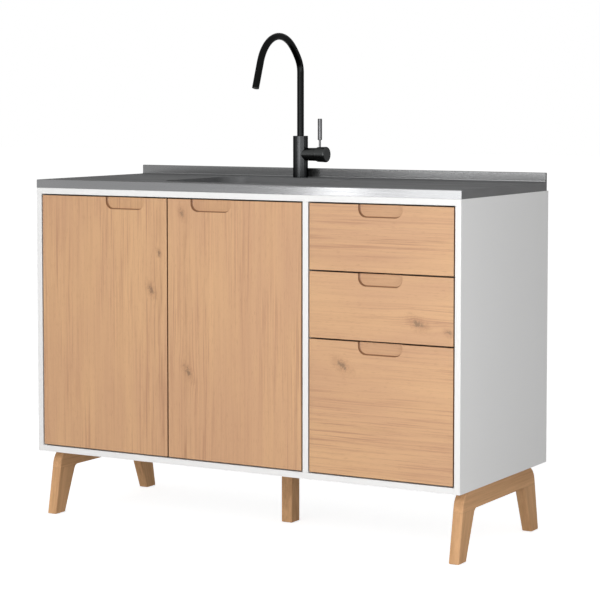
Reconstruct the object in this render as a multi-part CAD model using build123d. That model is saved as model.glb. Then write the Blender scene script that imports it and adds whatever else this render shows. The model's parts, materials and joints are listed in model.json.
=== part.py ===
"""Kitchen sink unit: a cabinet with two doors and three drawers on splayed wooden legs,
a steel worktop with a bowl, and a side-lever tap.

Millimetres. +Z is up, the doors and drawers face -Y, and the origin is on the floor
under the middle of the carcase.
"""

from build123d import *
from math import cos, radians, sin, tan
import os

# ---- carcase -------------------------------------------------------------------------------------
WIDTH = 1200.0              # over the side panels
DEPTH = 500.0               # front edge to the back of the back panel
LEG_HEIGHT = 168.0          # floor to the underside of the carcase
CARCASE_HEIGHT = 678.0
BOARD = 15.0                # panels, doors and drawer fronts
BACK_PANEL_T = 3.0
DOOR_BAY = 770.0            # clear width between the left side panel and the divider
FRONT_RAIL_DEPTH = 52.0
REAR_RAIL_HEIGHT = 80.0
FRONT_GAP = 3.5             # round every door and drawer front

# ---- finger grips --------------------------------------------------------------------------------
GRIP_WIDTH = 116.0
GRIP_HEIGHT = 30.0
GRIP_CORNER = 20.0
GRIP_DEPTH = 8.5
GRIP_COVE = 4.0
DOOR_GRIP_INSET = 125.0     # middle of the grip to the door's closing edge

# ---- worktop and bowl ----------------------------------------------------------------------------
WORKTOP_SETBACK = 10.0      # worktop's rear inside the carcase's rear
WORKTOP_T = 21.0
SHEET_T = 1.0
SHEET_EDGE_R = 2.5
UPSTAND_HEIGHT = 24.0       # above the deck
UPSTAND_T = 10.0
UPSTAND_COVE_R = 3.0
CORE_FIT = 0.3              # stiffening board to the folded sheet
BOWL_LENGTH = 400.0         # along X
BOWL_DEPTH = 149.0
BOWL_CORNER = 60.0
BOWL_FLOOR_R = 30.0
BOWL_TAPER = 4.0            # degrees
BOWL_FLANGE = 14.0
BOWL_SETBACK = 70.0         # worktop front edge to the bowl
BOWL_TO_TAP = 38.0          # bowl's rear edge to the tap's middle
TAP_TO_REAR = 42.0          # tap's middle to the worktop's rear
TAP_TO_DIVIDER = 264.0      # tap, bowl and drain share one line

# ---- waste ---------------------------------------------------------------------------------------
DRAIN_FLANGE_R = 56.0
DRAIN_CUP_R = 44.0
DRAIN_WALL = 1.5
DRAIN_CUP_DEPTH = 45.0
DRAIN_TAIL = 34.0
PIPE_R = 20.0               # waste pipe, outside
PIPE_WALL = 2.0
DRAIN_NUT_R = 52.0
DRAIN_NUT_T = 9.0
THREAD_FIT = 0.1
BASKET_R = 40.0
BASKET_WALL = 1.2
BASKET_DEPTH = 33.0
BASKET_SEAT = 0.3           # stopper above the cup's floor
STOPPER_R = 25.0
STOPPER_T = 5.0
BASKET_HOLES = 12
BASKET_HOLE_R = 3.0
KNOB_R = 8.0
KNOB_T = 5.0
TRAP_R = 33.0
TRAP_HEIGHT = 110.0
TRAP_WALL = 2.5
TRAP_CUP_HEIGHT = 45.0
TRAP_CUP_GRIPS = 8
OUTLET_DROP = 40.0          # trap body's top to the outlet pipe's middle
SLIP_NUT_R = 29.0
SLIP_NUT_T = 18.0
PIPE_END_GAP = 2.0          # outlet pipe's end inside the rear plane
SPIGOT_STEP = 1.0           # outlet pipe's spigot under its own size
SHOULDER_GAP = 1.0          # outlet pipe's shoulder off the slip nut
SERVICE_WIDTH = 300.0
SERVICE_HEIGHT = 220.0

# ---- tap -----------------------------------------------------------------------------------------
TAP_BODY_R = 19.5
TAP_BODY_HEIGHT = 109.0
TAP_EDGE = 0.8              # small bevels
TAP_HOLE_R = 17.5
TAP_BORE_R = 11.0
SPIGOT_LENGTH = 26.0
RUN_FIT = 0.05              # radial clearance of turning fits
BARREL_Z = 61.0             # side barrel above the deck
BARREL_ROOT_R = 16.3
BARREL_R = 17.2
BARREL_LENGTH = 46.0        # tap's middle to the start of the dome
BARREL_BORE_R = 14.0
PIVOT_X = 50.0              # lever's tilt pivot from the tap's middle
DOME_R = 17.6
DOME_END = 6.0              # beyond the pivot
CAP_GAP = 0.5
CAP_RIM = 3.0               # rim beyond the pivot
CAP_RIM_R = 19.3
CAP_R = 20.2
CAP_LENGTH = 27.5
CAP_EDGE_R = 4.0
LEVER_X = 8.2               # lever beyond the pivot
LEVER_NECK_R = 2.8
LEVER_NECK_TOP = 37.6       # above the barrel's middle
LEVER_R = 5.6
LEVER_TOP = 93.0
LEVER_SINK = 1.7
LEVER_TILT = 22.0           # degrees, full flow
SPINDLE_R = 8.9
SPINDLE_T = 3.0
STEM_R = 3.5
STEM_EYE_R = 4.2
STEM_SLOT = 7.6
FORK_T = 2.4
FORK_PIN_R = 1.5
CARTRIDGE_START = 14.2
CARTRIDGE_FIT = 0.1
CARTRIDGE_NUT_T = 5.0
SHANK_R = 16.0
SHANK_LENGTH = 58.0         # below the deck
SHANK_SPIGOT_R = 12.0
SHANK_SPIGOT = 8.0
INLET_R = 4.5               # wall of the supply threads
INLET_DEPTH = 14.0
INLET_SPACING = 15.0
FIXING_NUT_R = 23.0
FIXING_NUT_T = 10.0
WASHER_R = 26.0
WASHER_T = 2.0
SPOUT_R = 9.0
SPOUT_WALL = 1.8
SPOUT_STRAIGHT = 274.0      # deck to the start of the bend
SPOUT_LOWER_R = 58.0        # three bends follow one another
SPOUT_MIDDLE_R = 190.0
SPOUT_UPPER_R = 101.0
SPOUT_TURNS = (36.0, 14.0, 110.0)   # degrees
SPOUT_TIP = 71.0
AERATOR_LENGTH = 12.0
AERATOR_HOLES = 8
AERATOR_HOLE_R = 0.9

# ---- base ----------------------------------------------------------------------------------------
FRAME_INSET = 11.5          # leg frame inside the carcase's side
FRAME_T = 26.5
FOOT_SETBACK = 19.5
FOOT_DEPTH = 42.0
LEG_OUTER_LEAN = 10.5       # degrees from upright
LEG_INNER_LEAN = 21.8
FRAME_RAIL = 50.0           # depth of the frame's cross rail
FRAME_CORNER_R = 45.0
FRAME_CROTCH_R = 16.0
LEG_EASE = 3.5
LEG_BEVEL = 1.0             # round the soles
CENTRE_LEG_X = 5.0
CENTRE_LEG_Y = 2.0
CENTRE_LEG_W = 31.0
CENTRE_LEG_D = 41.0
GLIDE_R = 9.0
GLIDE_T = 1.5
NAIL_R = 1.5
NAIL_LENGTH = 14.0
SCREW_R = 2.0
SCREW_HEAD_R = 4.0
SCREW_HEAD_T = 2.0
SCREW_BITE = 30.0           # into the leg
SCREW_FIT = 0.1
FRAME_SCREW_PITCH = 140.0

# ---- concealed hinges ----------------------------------------------------------------------------
HINGE_EDGE = 20.0           # pivot from the door's edge
HINGE_BACKSET = 8.0         # pivot behind the door's face
HINGE_INSET_Z = 90.0        # from the door's end
CUP_R = 17.5
CUP_WALL = 1.0
CUP_OFFSET = 2.0            # cup's middle inboard of the pivot
CUP_DEPTH = 11.8
CUP_FIT = 0.1
CUP_FLANGE_R = 19.0
CUP_FLANGE_T = 1.0
CUP_WING = 26.0
HINGE_PIN_R = 1.5
KNUCKLE_R = 3.3
EAR_T = 2.0
EAR_GAP = 0.5
ARM_T = 3.0
ARM_HALF = 6.0              # half the arm's height
ARM_RUN = 13.5              # arm inboard of the pivot
ARM_BACK = 28.0             # arm's cross run behind the pivot
ARM_END = 64.0
PLATE_T = 2.0
PLATE_BLOCK = 4.0
PLATE_WING = 24.0
PLATE_LENGTH = 30.0

# ---- drawers -------------------------------------------------------------------------------------
BOX_T = 12.0
BOX_REAR_GAP = 37.0         # drawer's back to the rear rail
BOX_LIFT = 14.0             # box above the front's lower edge
BOX_DROP = 34.0             # box below the front's upper edge
BASE_T = 3.0
BASE_RISE = 10.0            # drawer base above the box's lower edge
GROOVE = 6.0
GROOVE_FIT = 0.1
RUNNER_SPACE = 13.0
RUNNER_START = 8.0          # behind the drawer front
RUNNER_SHORT = 22.0         # runner's end before the box's end
RUNNER_HALF = 18.0          # half the cabinet member's height
RUNNER_WALL = 1.5
RUNNER_REACH = 11.0         # cabinet member's width
RUNNER_TIP = 3.0            # drawer member's flange ends this far from the panel
RUNNER_FIT = 0.3
RUNNER_RISE = 36.0          # runner's middle above the box's lower edge

# ---- places worked out from the sizes ------------------------------------------------------------
LEFT, RIGHT = -WIDTH / 2, WIDTH / 2
FRONT, REAR = -DEPTH / 2, DEPTH / 2
PANEL_REAR = REAR - BACK_PANEL_T
CARCASE_TOP = LEG_HEIGHT + CARCASE_HEIGHT
BAY_BOTTOM = LEG_HEIGHT + BOARD
BAY_TOP = CARCASE_TOP - BOARD
BAY_LEFT = LEFT + BOARD
DIVIDER_LEFT = BAY_LEFT + DOOR_BAY
DIVIDER_RIGHT = DIVIDER_LEFT + BOARD
BAY_RIGHT = RIGHT - BOARD
FRONTS_BOTTOM = BAY_BOTTOM + FRONT_GAP
FRONTS_TOP = BAY_TOP - FRONT_GAP
DECK = CARCASE_TOP + WORKTOP_T
WORKTOP_REAR = REAR - WORKTOP_SETBACK
TAP_X = DIVIDER_LEFT - TAP_TO_DIVIDER
TAP_Y = WORKTOP_REAR - TAP_TO_REAR
BOWL_REAR = TAP_Y - BOWL_TO_TAP
BOWL_WIDTH = BOWL_REAR - FRONT - BOWL_SETBACK       # along Y
BOWL_Y = BOWL_REAR - BOWL_WIDTH / 2
BOWL_FLOOR = DECK - SHEET_T - BOWL_DEPTH            # upper face of the bowl's floor
DRAIN_BOTTOM = BOWL_FLOOR - DRAIN_CUP_DEPTH
TRAP_TOP = DRAIN_BOTTOM - DRAIN_TAIL / 2
TRAP_BOTTOM = TRAP_TOP - TRAP_HEIGHT
OUTLET_Z = TRAP_TOP - OUTLET_DROP
BARREL_MID = DECK + BARREL_Z
PIVOT = TAP_X + PIVOT_X
BOX_REAR = PANEL_REAR - BOARD - BOX_REAR_GAP
MODULE = (FRONTS_TOP - FRONTS_BOTTOM - 3 * FRONT_GAP) / 4   # height of a small drawer front


def slab(x0, x1, y0, y1, z0, z1):
    """Board between two corners."""
    return Pos((x0 + x1) / 2, (y0 + y1) / 2, (z0 + z1) / 2) * Box(abs(x1 - x0), abs(y1 - y0), abs(z1 - z0))


def rod(axis, start, end, across, radius):
    """Round bar along axis from start to end; across is its place on the other two axes, in X, Y, Z order."""
    middle, length = (start + end) / 2, abs(end - start)
    if axis == "X":
        return Pos(middle, across[0], across[1]) * Rot(0, 90, 0) * Cylinder(radius, length)
    if axis == "Y":
        return Pos(across[0], middle, across[1]) * Rot(90, 0, 0) * Cylinder(radius, length)
    return Pos(across[0], across[1], middle) * Cylinder(radius, length)


def tube(axis, start, end, across, radius, bore):
    """Round tube, as rod."""
    return rod(axis, start, end, across, radius) - rod(axis, start, end, across, bore)


def save(name, *pieces):
    """Writes one node: a single solid, or a group of separate ones."""
    shape = pieces[0] if len(pieces) == 1 else Compound(children=list(pieces))
    export_step(shape, f"parts/{name}.step")


# ---- carcase -------------------------------------------------------------------------------------
def side_panel(outer, inner):
    return slab(outer, inner, FRONT, PANEL_REAR, LEG_HEIGHT, CARCASE_TOP)


def bottom_panel():
    board = slab(BAY_LEFT, BAY_RIGHT, FRONT, PANEL_REAR, LEG_HEIGHT, BAY_BOTTOM)
    for x, y in screw_places():
        board -= rod("Z", LEG_HEIGHT, BAY_BOTTOM, (x, y), SCREW_R + SCREW_FIT)
    return board


def divider_panel():
    board = slab(DIVIDER_LEFT, DIVIDER_RIGHT, FRONT, PANEL_REAR, BAY_BOTTOM, BAY_TOP)
    return board - slab(DIVIDER_LEFT, DIVIDER_RIGHT, PANEL_REAR - BOARD, PANEL_REAR,
                        CARCASE_TOP - REAR_RAIL_HEIGHT, CARCASE_TOP)


def front_top_rail():
    return slab(BAY_LEFT, BAY_RIGHT, FRONT, FRONT + FRONT_RAIL_DEPTH, BAY_TOP, CARCASE_TOP)


def rear_top_rail():
    return slab(BAY_LEFT, BAY_RIGHT, PANEL_REAR - BOARD, PANEL_REAR,
                CARCASE_TOP - REAR_RAIL_HEIGHT, CARCASE_TOP)


def back_panel():
    panel = slab(LEFT, RIGHT, PANEL_REAR, REAR, LEG_HEIGHT, CARCASE_TOP)
    return panel - slab(TAP_X - SERVICE_WIDTH / 2, TAP_X + SERVICE_WIDTH / 2, PANEL_REAR, REAR,
                        OUTLET_Z - SERVICE_HEIGHT / 2, OUTLET_Z + SERVICE_HEIGHT / 2)


# ---- worktop -------------------------------------------------------------------------------------
def pan_profile(inset, foot):
    """Section of the folded sheet, seen along X: deck, apron and upstand, inset from the outer faces."""
    top = DECK - inset
    upstand = WORKTOP_REAR - UPSTAND_T + inset
    points = [(FRONT + inset, foot), (FRONT + inset, top), (upstand, top), (upstand, top + UPSTAND_HEIGHT),
              (WORKTOP_REAR - inset, top + UPSTAND_HEIGHT), (WORKTOP_REAR - inset, foot)]
    face = Plane.YZ * make_face(Polyline(*points, close=True))
    folds = face.vertices().filter_by(lambda v: v.Z > DECK or (v.Z > foot and v.Y < TAP_Y))
    face = fillet(folds, SHEET_EDGE_R - inset)
    cove = face.vertices().filter_by(lambda v: abs(v.Z - top) < SHEET_T / 2 and v.Y > TAP_Y)
    return fillet(cove, UPSTAND_COVE_R + inset)


def bowl_prism(grow, low, high):
    """Upright block with the bowl's plan, grown all round."""
    plan = RectangleRounded(BOWL_LENGTH + 2 * grow, BOWL_WIDTH + 2 * grow, BOWL_CORNER + grow)
    return Pos(TAP_X, BOWL_Y, low) * extrude(plan, high - low)


def worktop_sheet():
    outer = Pos(LEFT, 0, 0) * extrude(pan_profile(0, CARCASE_TOP), WIDTH)
    hollow = pan_profile(SHEET_T, CARCASE_TOP - SHEET_T)
    inner = Pos(LEFT + SHEET_T, 0, 0) * extrude(hollow, WIDTH - 2 * SHEET_T)
    sheet = outer - inner - bowl_prism(0, CARCASE_TOP, DECK + SHEET_T)
    return sheet - rod("Z", CARCASE_TOP, DECK + SHEET_T, (TAP_X, TAP_Y), TAP_HOLE_R)


def worktop_core():
    inset = SHEET_T + CORE_FIT
    board = slab(LEFT + inset, RIGHT - inset, FRONT + inset, WORKTOP_REAR - inset,
                 CARCASE_TOP, DECK - SHEET_T - CORE_FIT)
    front_edges = board.edges().filter_by(Axis.X).group_by(Axis.Y)[0].group_by(Axis.Z)[-1]
    board = chamfer(front_edges, SHEET_EDGE_R - SHEET_T)
    board -= bowl_prism(BOWL_FLANGE + CORE_FIT, CARCASE_TOP, DECK)
    return board - rod("Z", CARCASE_TOP, DECK, (TAP_X, TAP_Y), TAP_HOLE_R)


def bowl_block(grow, floor_radius):
    """Tapered block with a rounded floor edge; its top is on the sheet's underside."""
    plan = RectangleRounded(BOWL_LENGTH + 2 * grow, BOWL_WIDTH + 2 * grow, BOWL_CORNER + grow)
    block = extrude(plan, -(BOWL_DEPTH + grow), taper=BOWL_TAPER)
    block = fillet(block.edges().group_by(Axis.Z)[0], floor_radius)
    return Pos(TAP_X, BOWL_Y, DECK - SHEET_T) * block


def sink_bowl():
    shell = bowl_block(SHEET_T, BOWL_FLOOR_R + SHEET_T)
    shell += bowl_prism(BOWL_FLANGE, DECK - 2 * SHEET_T, DECK - SHEET_T)
    shell -= bowl_block(0, BOWL_FLOOR_R)
    return shell - rod("Z", BOWL_FLOOR - 2 * SHEET_T, BOWL_FLOOR + SHEET_T, (TAP_X, BOWL_Y),
                       DRAIN_CUP_R + THREAD_FIT)


# ---- waste ---------------------------------------------------------------------------------------
def drain_body():
    place = (TAP_X, BOWL_Y)
    flange_top = BOWL_FLOOR + DRAIN_WALL
    body = rod("Z", BOWL_FLOOR, flange_top, place, DRAIN_FLANGE_R)
    body = chamfer(body.edges().group_by(Axis.Z)[-1], DRAIN_WALL * 0.6)
    body += rod("Z", DRAIN_BOTTOM, BOWL_FLOOR, place, DRAIN_CUP_R)
    body += rod("Z", DRAIN_BOTTOM - DRAIN_TAIL, DRAIN_BOTTOM, place, PIPE_R)
    body -= rod("Z", DRAIN_BOTTOM + DRAIN_WALL, flange_top, place, DRAIN_CUP_R - DRAIN_WALL)
    return body - rod("Z", DRAIN_BOTTOM - DRAIN_TAIL, DRAIN_BOTTOM + DRAIN_WALL, place, PIPE_R - PIPE_WALL)


def drain_nut():
    top = BOWL_FLOOR - SHEET_T
    return tube("Z", top - DRAIN_NUT_T, top, (TAP_X, BOWL_Y), DRAIN_NUT_R, DRAIN_CUP_R + THREAD_FIT)


def strainer_basket():
    place = (TAP_X, BOWL_Y)
    seat = DRAIN_BOTTOM + DRAIN_WALL + BASKET_SEAT
    floor = seat + STOPPER_T
    basket = rod("Z", floor, floor + BASKET_DEPTH, place, BASKET_R)
    basket -= rod("Z", floor + BASKET_WALL, floor + BASKET_DEPTH, place, BASKET_R - BASKET_WALL)
    ring = (BASKET_R + STOPPER_R) / 2
    for turn in range(BASKET_HOLES):
        angle = radians(360 * turn / BASKET_HOLES)
        hole = (TAP_X + ring * cos(angle), BOWL_Y + ring * sin(angle))
        basket -= rod("Z", floor, floor + BASKET_WALL, hole, BASKET_HOLE_R)
    basket += rod("Z", seat, floor, place, STOPPER_R)
    knob_top = floor + BASKET_DEPTH - BASKET_WALL
    basket += rod("Z", floor, knob_top, place, KNOB_R / 2)
    return basket + rod("Z", knob_top - KNOB_T, knob_top, place, KNOB_R)


def trap_body():
    """Bottle with an inlet sleeve round the drain's tail and a side stub for the outlet pipe."""
    place = (TAP_X, BOWL_Y)
    body = rod("Z", TRAP_BOTTOM, TRAP_TOP, place, TRAP_R)
    stub_end = BOWL_Y + TRAP_R + SLIP_NUT_T
    body += rod("Y", BOWL_Y, stub_end, (TAP_X, OUTLET_Z), PIPE_R + PIPE_WALL + THREAD_FIT)
    body -= rod("Z", TRAP_BOTTOM, TRAP_TOP - TRAP_WALL, place, TRAP_R - TRAP_WALL)
    body -= rod("Z", TRAP_TOP - TRAP_WALL, TRAP_TOP, place, PIPE_R + THREAD_FIT)
    return body - rod("Y", BOWL_Y, stub_end, (TAP_X, OUTLET_Z), PIPE_R - SPIGOT_STEP + THREAD_FIT)


def trap_cup():
    """Screwed-on lower cup with grips for the hand."""
    place = (TAP_X, BOWL_Y)
    outer = TRAP_R + THREAD_FIT + TRAP_WALL
    low = TRAP_BOTTOM - TRAP_CUP_HEIGHT / 2
    cup = rod("Z", low, low + TRAP_CUP_HEIGHT, place, outer)
    for turn in range(TRAP_CUP_GRIPS):
        grip = slab(outer - TRAP_WALL, outer + TRAP_WALL, -TRAP_WALL, TRAP_WALL, low, low + TRAP_CUP_HEIGHT)
        cup += Pos(TAP_X, BOWL_Y, 0) * Rot(0, 0, 360 * turn / TRAP_CUP_GRIPS) * grip
    cup = fillet(cup.edges().group_by(Axis.Z)[0], TRAP_WALL / 4)
    cup -= rod("Z", TRAP_BOTTOM, low + TRAP_CUP_HEIGHT, place, TRAP_R + THREAD_FIT)
    return cup - rod("Z", low + TRAP_WALL, TRAP_BOTTOM, place, TRAP_R - TRAP_WALL)


def outlet_pipe():
    """Waste pipe to the rear, with a slightly smaller spigot inside the trap's stub."""
    shoulder = BOWL_Y + TRAP_R + SLIP_NUT_T + PIPE_WALL + SHOULDER_GAP
    pipe = rod("Y", shoulder, REAR - PIPE_END_GAP, (TAP_X, OUTLET_Z), PIPE_R)
    pipe += rod("Y", BOWL_Y + TRAP_R, shoulder, (TAP_X, OUTLET_Z), PIPE_R - SPIGOT_STEP)
    return pipe - rod("Y", BOWL_Y + TRAP_R, REAR - PIPE_END_GAP, (TAP_X, OUTLET_Z), PIPE_R - PIPE_WALL)


def slip_nuts():
    """Ring nuts: one seals the drain's tail into the trap, the other the outlet pipe."""
    inlet = tube("Z", TRAP_TOP, TRAP_TOP + SLIP_NUT_T / 2, (TAP_X, BOWL_Y), SLIP_NUT_R, PIPE_R + THREAD_FIT)
    end = BOWL_Y + TRAP_R + SLIP_NUT_T
    sleeve = PIPE_R + PIPE_WALL + 2 * THREAD_FIT
    outlet = tube("Y", end - SLIP_NUT_T / 2, end, (TAP_X, OUTLET_Z), SLIP_NUT_R, sleeve)
    spigot = PIPE_R - SPIGOT_STEP + THREAD_FIT
    outlet += tube("Y", end, end + PIPE_WALL, (TAP_X, OUTLET_Z), SLIP_NUT_R, spigot)
    return inlet, outlet


# ---- tap -----------------------------------------------------------------------------------------
def turned_x(*outline):
    """Solid of revolution about the barrel's line: the outline holds distances from the tap, and radii."""
    profile = make_face([edge for line in outline for edge in line.edges()])
    return Pos(TAP_X, TAP_Y, BARREL_MID) * revolve(Plane.XZ * profile, Axis.X)


def on_ball(radius, along):
    """Point of a ball round the lever's pivot, as the outline's points."""
    return PIVOT_X + along, (radius * radius - along * along) ** 0.5


def tap_body():
    top = DECK + TAP_BODY_HEIGHT
    body = rod("Z", DECK, top, (TAP_X, TAP_Y), TAP_BODY_R)
    body = chamfer(body.edges().group_by(Axis.Z)[-1], TAP_EDGE)
    root = on_ball(DOME_R, BARREL_LENGTH - PIVOT_X)
    end = on_ball(DOME_R, DOME_END)
    body += turned_x(Polyline(end, (end[0], 0), (0, 0), (0, BARREL_ROOT_R), (BARREL_LENGTH, BARREL_R), root),
                     ThreePointArc(root, on_ball(DOME_R, 0), end))
    body -= rod("X", TAP_X + CARTRIDGE_START, PIVOT + DOME_END, (TAP_Y, BARREL_MID), BARREL_BORE_R)
    body -= rod("Z", top - SPIGOT_LENGTH, top, (TAP_X, TAP_Y), TAP_BORE_R)
    return body - rod("Z", DECK, DECK + SHANK_SPIGOT, (TAP_X, TAP_Y), SHANK_SPIGOT_R + THREAD_FIT)


def tap_shank():
    bottom = DECK - SHANK_LENGTH
    shank = rod("Z", bottom, DECK, (TAP_X, TAP_Y), SHANK_R)
    shank += rod("Z", DECK, DECK + SHANK_SPIGOT, (TAP_X, TAP_Y), SHANK_SPIGOT_R)
    for side in (-1, 1):
        place = (TAP_X + side * INLET_SPACING / 2, TAP_Y)
        shank -= rod("Z", bottom, bottom + INLET_DEPTH, place, INLET_R)
    return shank


def tap_fixing_nut():
    """Washer under the worktop and the hexagon nut that draws the tap down."""
    place = (TAP_X, TAP_Y)
    washer = tube("Z", CARCASE_TOP - WASHER_T, CARCASE_TOP, place, WASHER_R, SHANK_R + THREAD_FIT)
    low = CARCASE_TOP - WASHER_T - FIXING_NUT_T
    nut = Pos(TAP_X, TAP_Y, low) * extrude(RegularPolygon(FIXING_NUT_R, 6), FIXING_NUT_T)
    return washer, nut - rod("Z", low, low + FIXING_NUT_T, place, SHANK_R + THREAD_FIT)


def spout_path():
    """Riser, three tangent bends that follow one another, and a straight tip, seen from the side."""
    side = Plane(origin=(TAP_X, TAP_Y, DECK), x_dir=(0, -1, 0), z_dir=(-1, 0, 0))
    run = Line((0, TAP_BODY_HEIGHT - SPIGOT_LENGTH + RUN_FIT), (0, SPOUT_STRAIGHT))
    edges = [run]
    heading = 0.0
    for radius, turn in zip((SPOUT_LOWER_R, SPOUT_MIDDLE_R, SPOUT_UPPER_R), SPOUT_TURNS):
        edges.append(JernArc(edges[-1] @ 1, (sin(radians(heading)), cos(radians(heading))), radius, -turn))
        heading += turn
    last = edges[-1] @ 1
    end = (last.X + SPOUT_TIP * sin(radians(heading)), last.Y + SPOUT_TIP * cos(radians(heading)))
    edges.append(Line(last, end))
    return side * Wire([edge for run in edges for edge in run.edges()])


def spout():
    path = spout_path()
    end_plane = Plane(origin=path @ 0, z_dir=path % 0)
    bore = sweep(end_plane * Circle(SPOUT_R - SPOUT_WALL), path)
    pipe = sweep(end_plane * Circle(SPOUT_R), path)
    top = DECK + TAP_BODY_HEIGHT
    pipe += rod("Z", top - SPIGOT_LENGTH + RUN_FIT, top - RUN_FIT, (TAP_X, TAP_Y), TAP_BORE_R - RUN_FIT)
    return pipe - bore


def aerator():
    path = spout_path()
    tip = Plane(origin=path @ 1, z_dir=-(path % 1))
    insert = extrude(Circle(SPOUT_R - SPOUT_WALL - RUN_FIT), AERATOR_LENGTH)
    for turn in range(AERATOR_HOLES):
        angle = radians(360 * turn / AERATOR_HOLES)
        place = (SPOUT_R / 2 * cos(angle), SPOUT_R / 2 * sin(angle))
        insert -= Pos(*place, 0) * extrude(Circle(AERATOR_HOLE_R), AERATOR_LENGTH)
    return tip * insert


def cartridge():
    start = TAP_X + CARTRIDGE_START
    end = TAP_X + BARREL_LENGTH - CARTRIDGE_NUT_T
    return rod("X", start, end, (TAP_Y, BARREL_MID), BARREL_BORE_R - CARTRIDGE_FIT)


def cartridge_nut():
    start = TAP_X + BARREL_LENGTH - CARTRIDGE_NUT_T
    return tube("X", start, start + CARTRIDGE_NUT_T, (TAP_Y, BARREL_MID), BARREL_BORE_R - CARTRIDGE_FIT,
                SPINDLE_R + RUN_FIT)


def mixer_spindle():
    """Turning disc in the cartridge nut, with a fork that carries the stem's cross pin."""
    start = TAP_X + BARREL_LENGTH - CARTRIDGE_NUT_T + RUN_FIT
    spindle = rod("X", start, start + SPINDLE_T, (TAP_Y, BARREL_MID), SPINDLE_R)
    for side in (-1, 1):
        inner = TAP_Y + side * STEM_SLOT / 2
        fork = slab(start, PIVOT, inner, inner + side * FORK_T, BARREL_MID - STEM_R, BARREL_MID + STEM_R)
        fork += rod("Y", inner, inner + side * FORK_T, (PIVOT, BARREL_MID), STEM_R)
        spindle += fork
    reach = STEM_SLOT / 2 + FORK_T
    return spindle - rod("Y", TAP_Y - reach, TAP_Y + reach, (PIVOT, BARREL_MID), FORK_PIN_R + RUN_FIT)


def socket_end():
    """Bottom of the stem's socket in the handle cap, from the tap's middle."""
    return PIVOT_X + DOME_R + CAP_GAP + STEM_R


def lever_stem():
    """Tilting stem with its cross pin; its end is fixed in the handle cap."""
    half = STEM_SLOT / 2 - RUN_FIT
    stem = rod("Y", TAP_Y - half, TAP_Y + half, (PIVOT, BARREL_MID), STEM_EYE_R)
    stem += rod("X", PIVOT, TAP_X + socket_end(), (TAP_Y, BARREL_MID), STEM_R)
    reach = STEM_SLOT / 2 + FORK_T
    return stem + rod("Y", TAP_Y - reach, TAP_Y + reach, (PIVOT, BARREL_MID), FORK_PIN_R)


def handle_cap():
    """Cap hollowed round the dome, with a socket for the stem and a seat for the lever."""
    cavity = DOME_R + CAP_GAP
    socket = STEM_R + THREAD_FIT
    rim = on_ball(cavity, CAP_RIM)
    mouth = on_ball(cavity, (cavity * cavity - socket * socket) ** 0.5)
    end = rim[0] + CAP_LENGTH
    shoulder = end - CAP_EDGE_R
    ease = CAP_EDGE_R * sin(radians(45))
    cap = turned_x(ThreePointArc(rim, on_ball(cavity, cavity * cos(radians(45))), mouth),
                   Polyline(mouth, (socket_end(), socket), (socket_end(), 0), (end, 0),
                            (end, CAP_R - CAP_EDGE_R)),
                   ThreePointArc((end, CAP_R - CAP_EDGE_R), (shoulder + ease, CAP_R - CAP_EDGE_R + ease),
                                 (shoulder, CAP_R)),
                   Polyline((shoulder, CAP_R), (rim[0], CAP_RIM_R), rim))
    return cap - rod("Z", lever_seat(), BARREL_MID + CAP_R, (PIVOT + LEVER_X, TAP_Y),
                     LEVER_NECK_R + THREAD_FIT)


def lever_seat():
    """Bottom of the lever's neck, sunk into the cap."""
    return BARREL_MID + CAP_RIM_R - LEVER_SINK


def lever_pin():
    place = (PIVOT + LEVER_X, TAP_Y)
    neck = rod("Z", lever_seat(), BARREL_MID + LEVER_NECK_TOP, place, LEVER_NECK_R)
    grip = rod("Z", BARREL_MID + LEVER_NECK_TOP, BARREL_MID + LEVER_TOP, place, LEVER_R)
    grip = chamfer(grip.edges().filter_by(GeomType.CIRCLE), TAP_EDGE)
    return neck + grip


# ---- base ----------------------------------------------------------------------------------------
def leg_profile():
    """Half outline of the arched frame in Y and Z, mirrored front to back."""
    top = LEG_HEIGHT
    arch = top - FRAME_RAIL
    foot = FRONT + FOOT_SETBACK
    outer_top = foot + (top - GLIDE_T) * tan(radians(LEG_OUTER_LEAN))
    heel = foot + FOOT_DEPTH
    crotch = heel + (arch - GLIDE_T) * tan(radians(LEG_INNER_LEAN))
    half = [(outer_top, top), (foot, GLIDE_T), (heel, GLIDE_T), (crotch, arch)]
    points = half + [(-y, z) for y, z in reversed(half)]
    face = make_face(Polyline(*points, close=True))
    face = fillet(face.vertices().group_by(Axis.Y)[-1], FRAME_CORNER_R)
    crotches = face.vertices().filter_by(lambda v: abs(v.Y - arch) < LEG_EASE / 10)
    return fillet(crotches, FRAME_CROTCH_R)


def leg_frame(side):
    start = side * (WIDTH / 2 - FRAME_INSET) - (FRAME_T if side > 0 else 0)
    frame = extrude(Plane.YZ * leg_profile(), FRAME_T)
    faces = [frame.faces().sort_by(Axis.X)[0], frame.faces().sort_by(Axis.X)[-1]]
    rim = [e for face in faces for e in face.outer_wire().edges()]
    near = LEG_EASE / 10
    frame = fillet([edge for edge in rim if GLIDE_T + near < edge.center().Z < LEG_HEIGHT - near], LEG_EASE)
    soles = frame.faces().group_by(Axis.Z)[0]
    frame = chamfer([edge for sole in soles for edge in sole.edges()], LEG_BEVEL)
    frame = Pos(start, 0, 0) * frame
    for x, y in glide_places():
        frame -= rod("Z", 0, GLIDE_T + NAIL_LENGTH, (x, y), NAIL_R + SCREW_FIT)
    for x, y in screw_places():
        frame -= rod("Z", LEG_HEIGHT - SCREW_BITE, LEG_HEIGHT, (x, y), SCREW_R + SCREW_FIT)
    return frame


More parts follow.
